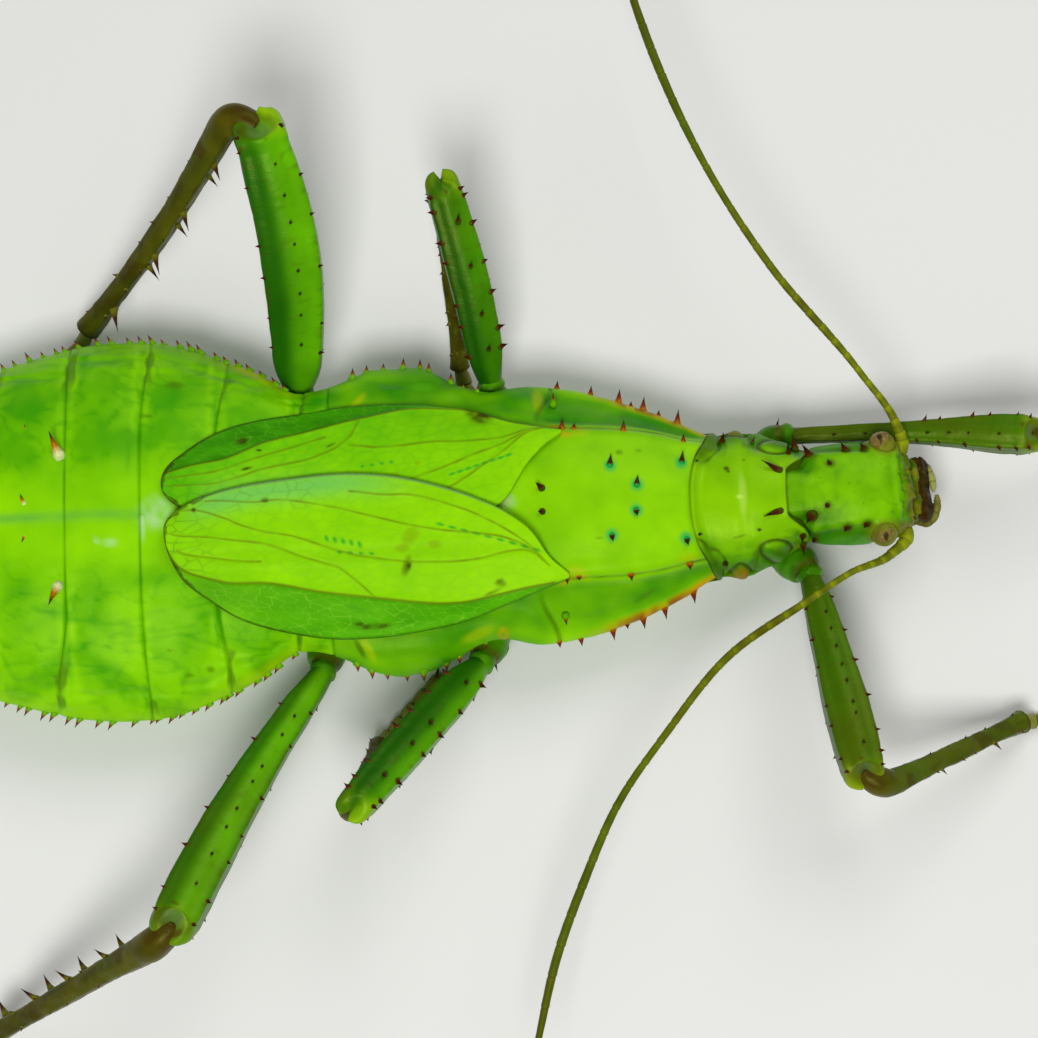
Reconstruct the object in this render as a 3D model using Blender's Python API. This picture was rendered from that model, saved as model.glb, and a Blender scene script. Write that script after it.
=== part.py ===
"""Giant jungle nymph, a stick insect: an adult female, life size, standing still.

+X points to the head, +Y to the insect's left and +Z up.  The origin is on the
floor, in the middle of the small flat that the belly rests on.  Shapes are
worked out in millimetres and scaled to metres as each mesh is made.
"""

import math

import bmesh
import bpy
import numpy as np

MM = 0.001
GAP = 0.3  # between two solids that meet

# The trunk's outline along X, as (x, value) pairs that a smooth curve joins.
HALF_WIDTH = (
    (-59, 4.6), (-54, 7.0), (-49, 9.6), (-42, 13.2), (-33, 17.4), (-24, 20.8), (-18, 22.6),
    (-12, 23.8), (-7, 24.0), (-1, 23.2), (5, 21.0), (9, 19.1), (13.5, 16.4), (18, 17.0),
    (22, 18.7), (26, 19.4), (30, 18.9), (34, 16.8), (38, 15.6), (43, 16.3), (48, 15.7),
    (54, 14.1), (58, 12.5), (61.5, 10.8), (65, 9.0), (70, 8.7), (73, 7.6), (76, 6.0),
)
KEEL_Z = (
    (-59, 10.6), (-42, 10.0), (-24, 9.8), (-5, 9.6), (5, 10.0), (13, 11.2), (18, 11.2),
    (26, 9.6), (32, 10.0), (38, 11.2), (44, 10.6), (50, 9.6), (58, 10.2), (64, 10.8), (76, 11.5),
)
TOP_Z = (
    (-59, 13.0), (-49, 14.5), (-42, 15.6), (-24, 17.5), (-8, 18.0), (5, 17.0), (14, 16.2),
    (26, 16.1), (40, 16.8), (50, 17.3), (60, 16.6), (64, 16.2), (70, 17.0), (76, 16.2),
)
BELLY_Z = (
    (-59, 8.2), (-49, 7.0), (-42, 5.6), (-33, 3.4), (-24, 1.4), (-14, -0.6), (-4, -1.2),
    (5, -0.9), (12, 1.2), (20, 2.8), (30, 3.2), (45, 4.2), (56, 5.2), (62, 6.4), (70, 7.0), (76, 8.0),
)
TRUNK_SIDES = 22
ARCH_POWER, ARCH_ROUND, BELLY_POWER = 2.4, 0.75, 2.4

# Where each abdominal segment begins, from the first at the front to the end of the tenth.
SEGMENT_EDGES = (18.5, 14.3, 4.8, -5.0, -14.7, -24.0, -33.0, -42.0, -49.0, -54.0, -59.0)
THORAX_EDGES = (18.5, 45.0, 62.2, 75.3)
MARGIN_SPINES_A_SEGMENT = 5

# The head turns a little to its left, about the neck.
NECK = (75.3, 0.75)
HEAD_YAW = math.radians(3.0)
HEAD_SECTIONS = (  # distance from the neck, half width, underside, top
    (0.45, 5.0, 8.6, 15.4), (2.0, 5.8, 7.6, 16.0), (5.0, 6.1, 6.8, 16.3), (9.0, 6.2, 6.3, 16.4),
    (11.6, 6.0, 6.1, 15.9), (13.4, 5.2, 6.1, 14.9), (14.7, 4.3, 6.2, 13.6), (15.3, 3.8, 6.4, 12.8),
)
EYE_FORWARD, EYE_OUT, EYE_Z, EYE_RADIUS = 10.9, 5.75, 13.7, 1.65

ANTENNA_ROUTES = {  # hand-set points along each feeler, from the head outwards
    "left": ((89.2, 7.4, 13.0), (88.2, 9.4, 13.9), (84.0, 15.4, 15.8), (73.2, 29.0, 18.0),
             (66.7, 39.6, 19.5), (60.5, 54.0, 20.0), (58.0, 62.0, 20.0), (55.6, 72.0, 19.5)),
    "right": ((89.7, -4.5, 11.3), (87.0, -6.7, 12.0), (81.3, -9.5, 15.5), (75.4, -13.2, 17.0),
              (65.9, -19.4, 18.0), (57.6, -28.9, 19.0), (51.9, -36.5, 19.0), (47.3, -45.8, 18.6),
              (43.6, -55.0, 18.0), (41.2, -64.0, 17.4), (39.8, -70.0, 17.0)),
}
ANTENNA_PARTS = (("scape", 0.0, 0.05), ("middle", 0.05, 0.5), ("tip", 0.5, 1.0))
ANTENNA_RADII = ((0.0, 0.85), (0.04, 0.75), (0.06, 0.6), (0.5, 0.45), (1.0, 0.3))

# Fore wings: the margins as (x, y) pairs, and how they lie over the back.
TEGMEN_THICK, TEGMEN_CLEAR, OVERLAP_LIFT = 0.7, 0.6, 1.1
TEGMEN_MARGINS = {
    "right": (
        ((-2.2, -2.0), (-0.5, 0.6), (3, 2.3), (8.3, 3.6), (13.5, 4.3), (20.4, 4.7), (25.6, 4.2),
         (30.8, 2.9), (36, 0.9), (39.5, -1.0), (42.6, -3.6), (44.4, -6.2), (46.9, -8.4)),
        ((-2.2, -2.0), (-1.6, -5.2), (-0.2, -7.8), (3, -10.4), (6.5, -12.6), (12.8, -14.4),
         (20, -15.3), (27, -14.9), (34.4, -13.5), (39.7, -11.7), (46.9, -9.2)),
    ),
    "left": (
        ((-2.6, 4.0), (-1.5, 1.8), (2, 0.0), (8, -1.6), (20, -2.4), (31, -2.2), (36, -1.0),
         (39.7, 1.1), (42.2, 5.0), (44.2, 7.2), (46.6, 8.9)),
        ((-2.6, 4.0), (-1.9, 6.2), (0, 7.9), (3.5, 10.2), (7, 11.6), (14, 13.0), (21, 13.8),
         (31, 13.5), (36, 12.6), (40, 11.0), (46.6, 9.6)),
    ),
}

# Legs: the joints in millimetres.  bow and shin_bow are how far the thigh and shin curve aside from
# straight, and under puts the head of the shin below the end of the thigh, not beside it.
LEGS = {
    "left_fore": dict(
        root=(71.2, 5.8, 5.2), hip=(74.6, 9.4, 7.9), knee=(105.6, 7.4, 13.2), ankle=(126.5, 11.6, 3.1),
        toe=(137.6, 13.2), bow=(0.0, 0.5, -0.3), thigh="fore_slim", shin=1.5,
    ),
    "right_fore": dict(
        root=(73.0, -4.2, 4.9), hip=(77.0, -8.0, 8.6), knee=(81.6, -34.5, 16.3), ankle=(103.4, -27.2, 3.1),
        toe=(114.4, -26.0), bow=(0.0, 0.0, 0.6), thigh="fore", shin=1.6,
    ),
    "left_mid": dict(
        root=(39.6, 10.6, 3.5), hip=(38.2, 16.9, 8.0), knee=(33.0, 39.5, 21.2), ankle=(34.2, 20.8, 3.1),
        toe=(37.4, 11.5), bow=(0.4, 0.0, 0.6), thigh="mid", shin=1.35, under=True,
    ),
    "right_mid": dict(
        root=(38.4, -10.6, 3.4), hip=(35.9, -17.9, 8.2), knee=(20.4, -36.4, 23.4), ankle=(22.5, -27.4, 3.1),
        toe=(30.2, -18.9), bow=(0.0, 0.0, 0.6), thigh="mid", shin=1.35, under=True,
    ),
    "left_hind": dict(
        root=(16.2, 10.8, 2.3), hip=(13.8, 17.2, 7.6), knee=(10.8, 46.0, 29.8), ankle=(-13.5, 27.5, 3.1),
        toe=(-20.8, 19.4), bow=(1.7, 0.0, 0.8), thigh="hind", shin=1.75, shin_bow=(0.8, -0.6, 0.0),
    ),
    "right_hind": dict(
        root=(16.6, -11.2, 2.9), hip=(16.2, -18.2, 8.0), knee=(-1.2, -50.2, 25.8), ankle=(-27.0, -62.0, 3.1),
        toe=(-37.6, -66.2), bow=(-0.8, 0.0, 0.8), thigh="hind_slim", shin=1.75,
    ),
}
THIGH_RADII = {  # (fraction of the length, radius)
    "fore_slim": ((0, 1.05), (0.2, 1.1), (0.4, 1.25), (0.58, 1.55), (0.73, 2.05), (0.9, 2.4), (1, 1.6)),
    "fore": ((0, 1.3), (0.15, 1.9), (0.4, 2.4), (0.7, 2.9), (0.92, 2.7), (1, 1.7)),
    "mid": ((0, 1.4), (0.12, 2.2), (0.4, 2.6), (0.8, 2.5), (0.94, 2.3), (1, 1.5)),
    "hind": ((0, 1.6), (0.09, 2.6), (0.25, 3.2), (0.65, 3.6), (0.93, 3.2), (1, 1.8)),
    "hind_slim": ((0, 1.5), (0.1, 1.95), (0.25, 2.2), (0.5, 2.7), (0.75, 3.05), (0.93, 2.9), (1, 1.8)),
}
SHIN_RADII = ((0, 0.7), (0.05, 1.0), (0.14, 0.93), (0.5, 0.78), (0.86, 0.78), (1, 0.92))  # times shin
HIP_GAP, KNEE_GAP, ANKLE_GAP = 0.8, 0.35, 0.65
FOOT_RADIUS, FOOT_Z, FOOT_JOINTS = 1.0, 0.75, 5

GREEN, DARK_GREEN, OLIVE = (0.21, 0.61, 0.0), (0.08, 0.36, 0.0), (0.08, 0.07, 0.0)


def clear_scene():
    """Remove whatever the file starts with."""
    for thing in list(bpy.data.objects):
        bpy.data.objects.remove(thing)


def smooth(pairs, at):
    """Value at `at` of the smooth curve through (position, value) pairs, flat beyond its ends."""
    where, value = np.array(pairs, float).T
    slope = np.gradient(value, where)
    i = np.clip(np.searchsorted(where, at) - 1, 0, len(where) - 2)
    span = where[i + 1] - where[i]
    t = np.clip((at - where[i]) / span, 0, 1)
    start = (1 + 2 * t) * (1 - t) ** 2 * value[i] + t * (1 - t) ** 2 * span * slope[i]
    end = t**2 * (3 - 2 * t) * value[i + 1] - t**2 * (1 - t) * span * slope[i + 1]
    return start + end


def unit(vector):
    return np.asarray(vector, float) / np.linalg.norm(vector)


def material(name, colour, roughness=0.45):
    """A plain surface of one colour."""
    made = bpy.data.materials.get(name)
    if made is None:
        made = bpy.data.materials.new(name)
        made.use_nodes = True
        shader = made.node_tree.nodes["Principled BSDF"]
        shader.inputs["Base Color"].default_value = (*colour, 1)
        shader.inputs["Roughness"].default_value = roughness
        shader.inputs["Metallic"].default_value = 0.0
    return made


def make_object(name, points, faces, surface):
    """An object from points in millimetres, its faces turned outwards."""
    mesh = bpy.data.meshes.new(name)
    mesh.from_pydata((np.asarray(points) * MM).tolist(), [], faces)
    shell = bmesh.new()
    shell.from_mesh(mesh)
    if shell.calc_volume(signed=True) < 0:
        bmesh.ops.reverse_faces(shell, faces=shell.faces[:])
    shell.to_mesh(mesh)
    shell.free()
    mesh.shade_smooth()
    mesh.set_sharp_from_angle(angle=math.radians(40))
    mesh.materials.append(surface)
    made = bpy.data.objects.new(name, mesh)
    bpy.context.scene.collection.objects.link(made)
    return made


def loft_faces(rings, sides):
    """Quads between neighbouring rings, and a flat cap on each end."""
    faces = []
    for ring in range(rings - 1):
        for side in range(sides):
            near, far = ring * sides, (ring + 1) * sides
            after = (side + 1) % sides
            faces.append((near + side, near + after, far + after, far + side))
    faces.append(tuple(reversed(range(sides))))
    faces.append(tuple(range((rings - 1) * sides, rings * sides)))
    return faces


def loft(name, rings, surface):
    """A closed skin through rings that all have the same number of points."""
    rings = np.asarray(rings, float)
    return make_object(name, rings.reshape(-1, 3), loft_faces(*rings.shape[:2]), surface)


def add_operand(target, other, operation):
    """Join another mesh to an object, or cut it away."""
    other.hide_render = True
    other.display_type = "WIRE"
    change = target.modifiers.new(other.name, "BOOLEAN")
    change.operation = operation
    change.solver = "EXACT"
    change.object = other


def add_spines(target, spines, sides=3):
    """Join sharp three-sided spines to an object, each (foot, tip, radius) with its foot inside it."""
    points, faces = [], []
    for foot, tip, radius in spines:
        foot, tip = np.asarray(foot, float), np.asarray(tip, float)
        along = unit(tip - foot)
        across = unit(np.cross(along, (0.31, 0.17, 0.93)))
        other = np.cross(along, across)
        first = len(points)
        for turn in np.arange(sides) * 2 * math.pi / sides:
            points.append(foot + radius * (math.cos(turn) * across + math.sin(turn) * other))
        points.append(tip)
        faces.append(tuple(reversed(range(first, first + sides))))
        faces += [(first + i, first + (i + 1) % sides, first + sides) for i in range(sides)]
    group = make_object(f"{target.name}_spines", points, faces, target.data.materials[0])
    add_operand(target, group, "UNION")


def midline(x):
    """The body bends a little to its left from the back of the prothorax forwards."""
    return 0.75 * float(np.clip((x - 60) / 15, 0, 1)) ** 2


def trunk_half(x, across):
    """Height of the back over a point `across` of the way from the midline to the keel."""
    keel, top = smooth(KEEL_Z, x), smooth(TOP_Z, x)
    return keel + (top - keel) * (1 - np.minimum(np.abs(across), 1) ** ARCH_POWER) ** ARCH_ROUND


def back_z(x, y):
    """Height of the back at a place on the trunk."""
    return trunk_half(x, (y - midline(x)) / smooth(HALF_WIDTH, x))


def trunk_ring(x):
    """Cross-section: a low arch above the side keels and a rounder belly below, level on the floor."""
    turn = np.arange(TRUNK_SIDES) * 2 * math.pi / TRUNK_SIDES
    across = np.cos(turn)
    keel, belly = smooth(KEEL_Z, x), smooth(BELLY_Z, x)
    under = keel - (keel - belly) * (1 - np.abs(across) ** BELLY_POWER)
    z = np.where(np.sin(turn) > -1e-9, trunk_half(x, across), under)
    y = midline(x) + smooth(HALF_WIDTH, x) * across
    return np.column_stack([np.full(TRUNK_SIDES, float(x)), y, np.maximum(z, 0)])


def trunk_piece(name, start, end, surface, spacing=5.0):
    """The length of trunk between two cross-sections, short of each by half a gap."""
    low, high = min(start, end) + GAP / 2, max(start, end) - GAP / 2
    count = max(2, round((high - low) / spacing) + 1)
    return loft(name, [trunk_ring(x) for x in np.linspace(low, high, count)], surface)


def margin_spines(places, length, lean, radius=0.42):
    """Spines on both side keels, leaning along X by `lean` of their length."""
    spines = []
    for x in places:
        for side in (1, -1):
            edge, z = smooth(HALF_WIDTH, x), smooth(KEEL_Z, x)
            foot = (x - lean * 0.3, midline(x) + side * (edge - 0.7), z)
            tip = (x + lean * length, midline(x) + side * (edge + length), z + 0.15)
            spines.append((foot, tip, radius))
    return spines


def back_spines(pairs, length, lean, radius=0.45):
    """Pairs of spines standing on the back, as (x, distance from the midline)."""
    spines = []
    for x, out in pairs:
        for side in (1, -1):
            y = midline(x) + side * out
            z = back_z(x, y)
            tip = (x + lean * length, y + side * 0.3 * length, z + length)
            spines.append(((x, y, z - 0.6), tip, radius))
    return spines


def build_abdomen(surface):
    """Ten segments.  The fifth to seventh carry spines on the back, and the tenth two short cerci."""
    for number in range(1, 11):
        front, back = SEGMENT_EDGES[number - 1], SEGMENT_EDGES[number]
        piece = trunk_piece(f"abdomen_segment_{number}", front, back, surface)
        if number == 10:
            cerci = [((-58.3, side * 3.8, 10.8), (-60.9, side * 4.3, 10.9), 0.4) for side in (1, -1)]
            add_spines(piece, cerci)
        if not 2 <= number <= 8:
            continue
        step = (front - back) / MARGIN_SPINES_A_SEGMENT
        places = back + step * (np.arange(MARGIN_SPINES_A_SEGMENT) + 0.5)
        spines = margin_spines(places, 0.8, -0.7, 0.35)
        if 5 <= number <= 7:
            share = 1 - 0.2 * (number - 5)
            spines += back_spines([(front - 1.6, 8.4 * share)], 1.9 * share, -0.5, 0.5)
            spines += back_spines([(front - 5.6, 2.1 * share)], 1.3 * share, -0.7, 0.4)
        add_spines(piece, spines)


def oval_ring(x, y, half, low, high, sides=16, power=0.85):
    """A rounded-square cross-section facing along X."""
    turn = np.arange(sides) * 2 * math.pi / sides
    across, up = np.cos(turn), np.sin(turn)
    ring_y = y + half * np.sign(across) * np.abs(across) ** power
    ring_z = (low + high) / 2 + (high - low) / 2 * np.sign(up) * np.abs(up) ** power
    return np.column_stack([np.full(sides, float(x)), ring_y, ring_z])


def build_egg_layer(surface):
    """The beak at the tail: a scoop under the last segments and a tapering plate above."""
    scoop = [(-49.2, 6.8, 4.2, 6.5), (-55, 5.8, 5.0, 7.2), (-61, 3.8, 6.2, 7.9), (-68, 0.9, 8.0, 8.9)]
    loft("subgenital_plate", [oval_ring(x, 0, w, low, high, 12) for x, w, low, high in scoop], surface)
    plate = [(-59.3, 3.2, 8.4, 12.6), (-63, 2.3, 8.7, 11.8), (-67.6, 0.7, 9.3, 10.4)]
    loft("epiproct", [oval_ring(x, 0, w, low, high, 12) for x, w, low, high in plate], surface)


def build_thorax(surface):
    """Three pieces with spiny side keels, and spines on the middle one's back."""
    meta_end, meta_start, meso_start, pro_start = THORAX_EDGES
    metathorax = trunk_piece("metathorax", meta_end, meta_start, surface)
    add_spines(metathorax, margin_spines(np.linspace(20.6, 31.0, 7), 1.1, 0.15))
    mesothorax = trunk_piece("mesothorax", meta_start, meso_start, surface)
    back_pairs = ((46.2, 1.7), (52.0, 4.9), (55.2, 1.8), (60.4, 5.4))
    add_spines(
        mesothorax,
        margin_spines(np.linspace(46.2, 60.8, 7), 1.4, 0.4, 0.5) + back_spines(back_pairs, 1.2, -0.3),
    )
    prothorax = trunk_piece("prothorax", meso_start, pro_start, surface, 2.6)
    collar = [((73.9, 0.7 + side * 2.9, 15.8), (71.6, 0.7 + side * 3.3, 18.2), 0.6) for side in (1, -1)]
    corners = [((73.9, 0.7 + side * 4.4, 13.6), (75.0, 0.7 + side * 6.9, 14.6), 0.55) for side in (1, -1)]
    flanks = [((67.6, side * 7.6, 11.4), (67.4, side * 9.9, 12.0), 0.6) for side in (1, -1)]
    add_spines(prothorax, collar + corners + flanks)


def head_point(forward, out, z):
    """World place of a point given from the neck, forwards and to the head's left."""
    turned_x = forward * math.cos(HEAD_YAW) - out * math.sin(HEAD_YAW)
    turned_y = forward * math.sin(HEAD_YAW) + out * math.cos(HEAD_YAW)
    return np.array([NECK[0] + turned_x, NECK[1] + turned_y, z])


def head_loft(name, sections, surface, sides=16, out=0.0):
    """A loft along the head's own forward axis, turned with the head."""
    rings = []
    for forward, half, low, high in sections:
        ring = oval_ring(forward, out, half, low, high, sides)
        rings.append([head_point(*point) for point in ring])
    return loft(name, rings, surface)


def ball(name, centre, radius, surface):
    """A sphere of the given radius."""
    mesh = bpy.data.meshes.new(name)
    shell = bmesh.new()
    bmesh.ops.create_uvsphere(shell, u_segments=12, v_segments=7, radius=radius * MM)
    shell.to_mesh(mesh)
    shell.free()
    mesh.shade_smooth()
    mesh.materials.append(surface)
    made = bpy.data.objects.new(name, mesh)
    made.location = centre * MM
    bpy.context.scene.collection.objects.link(made)
    return made


def build_head(surface, eye, mouth, palp):
    """The head with its eyes set in sockets, and the mouth at the front."""
    head = head_loft("head", HEAD_SECTIONS, surface, 20)
    pairs = ((2.2, 3.9, 1.9), (5.0, 2.6, 1.0), (7.0, 5.2, 1.1), (9.2, 5.0, 1.1))
    spines = []
    for forward, out, length in pairs:
        for side in (1, -1):
            foot = head_point(forward, side * out, 14.2 if out > 3 else 15.4)
            tip = head_point(forward - 0.4 * length, side * (out + 0.5 * length), 15.6 + length)
            spines.append((foot, tip, 0.5))
    add_spines(head, spines)
    for side, sign in (("left", 1), ("right", -1)):
        centre = head_point(EYE_FORWARD, sign * EYE_OUT, EYE_Z)
        ball(f"eye_{side}", centre, EYE_RADIUS, eye)
        add_operand(head, ball(f"socket_{side}", centre, EYE_RADIUS + GAP, surface), "DIFFERENCE")
    head_loft("labrum", ((15.65, 3.5, 9.4, 12.2), (16.5, 3.3, 9.3, 11.6), (17.1, 2.6, 9.3, 10.8)), mouth, 10)
    for side, sign in (("left", 1), ("right", -1)):
        jaw = ((15.7, 1.7, 6.7, 9.0), (16.6, 1.6, 6.8, 8.9), (17.0, 1.2, 7.1, 8.5))
        head_loft(f"mandible_{side}", jaw, mouth, 10, sign * 1.9)
        bends = ((15.9, sign * 4.3, 7.6), (17.0, sign * 4.6, 6.9), (17.6, sign * 3.9, 6.0))
        route = [head_point(*place) for place in bends]
        tube(f"palp_{side}", route, [0.5, 0.5, 0.42], palp, 6)


def frames_along(path):
    """For each point of a path, two directions square to it that don't twist along the way."""
    ahead = np.gradient(path, axis=0)
    ahead /= np.linalg.norm(ahead, axis=1)[:, None]
    up = (0.0, 0.0, 1.0) if abs(ahead[0][2]) < 0.9 else (1.0, 0.0, 0.0)
    side = unit(np.cross(up, ahead[0]))
    sides = []
    for direction in ahead:
        side = unit(side - direction * np.dot(side, direction))
        sides.append(side)
    sides = np.array(sides)
    return sides, np.cross(ahead, sides)


def tube_rings(path, radii, count):
    """Round rings along a path."""
    path = np.asarray(path, float)
    side, up = frames_along(path)
    turn = np.arange(count) * 2 * math.pi / count
    ring = side[:, None] * np.cos(turn)[:, None] + up[:, None] * np.sin(turn)[:, None]
    return path[:, None] + np.asarray(radii, float)[:, None, None] * ring


def tube(name, path, radii, surface, count=8):
    """A round bar along a path, its radius changing on the way."""
    return loft(name, tube_rings(path, radii, count), surface)


def curve_points(points, count):
    """Evenly spaced points on the smooth curve through hand-set points, and their share of its length."""
    points = np.array(points, float)
    run = np.concatenate([[0], np.cumsum(np.linalg.norm(np.diff(points, axis=0), axis=1))])
    share = np.linspace(0, 1, count)
    path = np.array(
        [[smooth(np.column_stack([run / run[-1], points[:, axis]]), s) for axis in range(3)] for s in share]
    )
    return path, share, run[-1]


def build_antenna(side, route, surface):
    """A feeler as a thick base and two longer lengths, each short of the next by a gap."""
    length = curve_points(route, 2)[2]
    for part, start, end in ANTENNA_PARTS:
        trim = 0.7 * GAP / length
        count = max(4, round((end - start) * length / 2.8))
        path, share, _ = curve_points(route, 400)
        wanted = np.linspace(start + trim, end - trim, count)
        path = np.column_stack([np.interp(wanted, share, path[:, axis]) for axis in range(3)])
        radii = [smooth(ANTENNA_RADII, s) for s in wanted]
        tube(f"antenna_{side}_{part}", path, radii, surface, 5)


def tegmen_margins(side, count):
    """Inner and outer edge of a fore wing at places spread along it, closest at its ends."""
    inner, outer = TEGMEN_MARGINS[side]
    share = 0.5 - 0.5 * np.cos(np.linspace(0, math.pi, count))
    tip, base = inner[0][0], inner[-1][0]
    x = tip + (base - tip) * (0.012 + 0.988 * share)
    return x, [smooth(inner, at) for at in x], [smooth(outer, at) for at in x]


def build_tegmen(side, surface, along=12, across=6):
    """A leathery fore wing over the back.  The right one lies over the left one's inner edge."""
    rings = []
    for x, inner, outer in zip(*tegmen_margins(side, along)):
        y = np.linspace(inner, outer, across)
        clear = np.array([back_z(x, at) for at in y]) + TEGMEN_CLEAR
        if side == "right":
            ramp = np.clip((y + 7.0) / 3.0, 0, 1)
            clear += OVERLAP_LIFT * ramp * ramp * (3 - 2 * ramp)
        under = np.column_stack([np.full(across, x), y, clear])
        over = under + (0, 0, TEGMEN_THICK)
        rings.append(np.concatenate([under, over[::-1]]))
    loft(f"tegmen_{side}", rings, surface)


def thigh_path(leg, count=9):
    """Points from hip to knee, clear of the joints, bowed aside in the middle."""
    hip, knee = np.array(leg["hip"]), np.array(leg["knee"])
    ahead = unit(knee - hip)
    start, end = hip + HIP_GAP * ahead, knee
    share = np.linspace(0, 1, count)
    bow = np.sin(math.pi * share)[:, None] * np.array(leg["bow"])
    return start + share[:, None] * (end - start) + bow, share


def shin_path(leg):
    """Straight to the ankle, from beside the lower corner of the thigh's end, and the share of the way."""
    path, thigh_share = thigh_path(leg)
    out = unit(path[-1] - path[-2])
    knee, ankle = path[-1], np.array(leg["ankle"])
    radii = np.array([smooth(THIGH_RADII[leg["thigh"]], at) for at in thigh_share])
    behind = np.linalg.norm(knee - path, axis=1)
    aim = unit(ankle - knee)
    for _ in range(4):
        along = np.dot(out, aim)
        down = unit(aim - out * along)
        if leg.get("under"):
            down = unit((0, 0, -1) + out * out[2])
        square = math.sqrt(1 - along**2)
        beside = square * out - along * down
        clear = np.max(-along * radii - square * behind) + leg["shin"] + KNEE_GAP
        start = knee + radii[-1] * square * aim + clear * beside
        aim = unit(ankle - start)
    end = ankle - ANKLE_GAP * aim
    share = np.array([at for at, _ in SHIN_RADII])
    bow = np.sin(math.pi * share)[:, None] * np.array(leg.get("shin_bow", (0, 0, 0)))
    return start + share[:, None] * (end - start) + bow, share


def foot_path(leg, count=13):
    """From the ankle down to the floor and along it to the toe."""
    ankle, toe = np.array(leg["ankle"]), np.array((*leg["toe"], FOOT_Z))
    share = np.linspace(0, 1, count)
    path = ankle + share[:, None] * (toe - ankle)
    path[:, 2] = FOOT_Z + (ankle[2] - FOOT_Z) * np.clip(1 - share * 5, 0, 1) ** 2
    return path, share


def build_foot(name, leg, surface):
    """Five joints, each swelling to its end, level where they touch the floor, and two claws."""
    path, share = foot_path(leg)
    wave = (share * FOOT_JOINTS) % 1
    radii = FOOT_RADIUS * (0.8 + 0.25 * np.sin(math.pi * wave))
    radii[0], radii[-1] = 0.75, 0.7
    rings = tube_rings(path, radii, 6)
    rings[:, :, 2] = np.maximum(rings[:, :, 2], 0)
    foot = loft(f"{name}_tarsus", rings, surface)
    ahead = unit(path[-1] - path[-2])
    aside = np.array([-ahead[1], ahead[0], 0])
    claws = []
    for side in (1, -1):
        base = path[-1] - 0.5 * ahead + side * 0.2 * aside
        claws.append((base, path[-1] + 1.2 * ahead + side * 0.9 * aside + (0, 0, -0.35), 0.36))
    add_spines(foot, claws)


def row_spines(path, share, radii, places, outward, length, radius=0.38):
    """Spines along a limb, pointing outward and a little towards its far end."""
    spines = []
    for place in places:
        at = np.array([np.interp(place, share, path[:, axis]) for axis in range(3)])
        ahead = unit(path[np.searchsorted(share, place, side="right")] - at)
        side = unit(np.asarray(outward, float) - ahead * np.dot(outward, ahead))
        thick = np.interp(place, share, radii)
        tip = at + side * (thick + length) + ahead * 0.3 * length
        spines.append((at + side * (thick - 0.7), tip, radius))
    return spines


def build_leg(name, leg, thigh_surface, shin_surface):
    """Coxa with its trochanter, femur, tibia and tarsus."""
    root, hip = np.array(leg["root"]), np.array(leg["hip"])
    inward = unit(root - hip)
    share = np.linspace(0, 1, 5)
    coxa = root + share[:, None] * (hip + HIP_GAP * 0.5 * inward - root)
    tube(f"{name}_coxa", coxa, [1.5, 2.0, 2.2, 1.9, 1.2], thigh_surface, 10)

    path, share = thigh_path(leg)
    radii = [smooth(THIGH_RADII[leg["thigh"]], s) for s in share]
    femur = tube(f"{name}_femur", path, radii, thigh_surface, 10)
    ahead = unit(path[-1] - path[0])
    side, up = np.cross((0, 0, 1), ahead), np.cross(ahead, np.cross((0, 0, 1), ahead))
    places = (0.56, 0.7, 0.84) if "fore" in name else (0.32, 0.5, 0.68, 0.85)
    spines = row_spines(path, share, radii, places, side + 0.5 * up, 0.9)
    spines += row_spines(path, share, radii, places, -side + 0.5 * up, 0.9)
    add_spines(femur, spines)

    route, share = shin_path(leg)
    radii = leg["shin"] * np.array([radius for _, radius in SHIN_RADII])
    tibia = tube(f"{name}_tibia", route, radii, shin_surface, 8)
    down = unit(route[-1] - route[-2])
    side = np.cross((0, 0, 1), down)
    hind = "hind" in name
    inner = np.sign(leg["hip"][1]) * side
    places, long = ((0.36, 0.5, 0.64, 0.76, 0.9), 2.0) if hind else ((0.5, 0.68, 0.86), 1.1)
    add_spines(tibia, row_spines(route, share, radii, places, inner, long, 0.5))
    build_foot(name, leg, shin_surface)


def main():
    clear_scene()
    green = material("green_cuticle", GREEN)
    wing = material("wing_leather", (0.27, 0.66, 0.0))
    leg_green = material("leg_cuticle", DARK_GREEN)
    shin_brown = material("shin_cuticle", OLIVE)
    feeler = material("feeler_cuticle", (0.1, 0.13, 0.0))
    eye = material("eye_facets", (0.14, 0.14, 0.02), 0.25)
    mouth = material("mouth_horn", (0.03, 0.02, 0.0), 0.3)
    palp = material("palp_skin", (0.45, 0.4, 0.16))

    build_abdomen(green)
    build_egg_layer(green)
    build_thorax(green)
    build_head(green, eye, mouth, palp)
    for side, route in ANTENNA_ROUTES.items():
        build_antenna(side, route, feeler)
        build_tegmen(side, wing)
    for name, leg in LEGS.items():
        build_leg(name, leg, leg_green, shin_brown)


main()
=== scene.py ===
# %% [markdown]
# # A giant jungle nymph, as a still model
#
# The solids of the insect arrive as a fixed frame: every plate, leg and feeler already has its
# size and place.  This lesson gives each one its living surface.  An insect has no fur and no
# cloth: what shows is cuticle, a thin horny skin, so nearly everything here is a surface worked
# out from two parameters, with its colours carried as marks on the points of the mesh.

# %% Load the frame
import math
from functools import partial

import bpy
import numpy as np
from mathutils import Matrix


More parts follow.
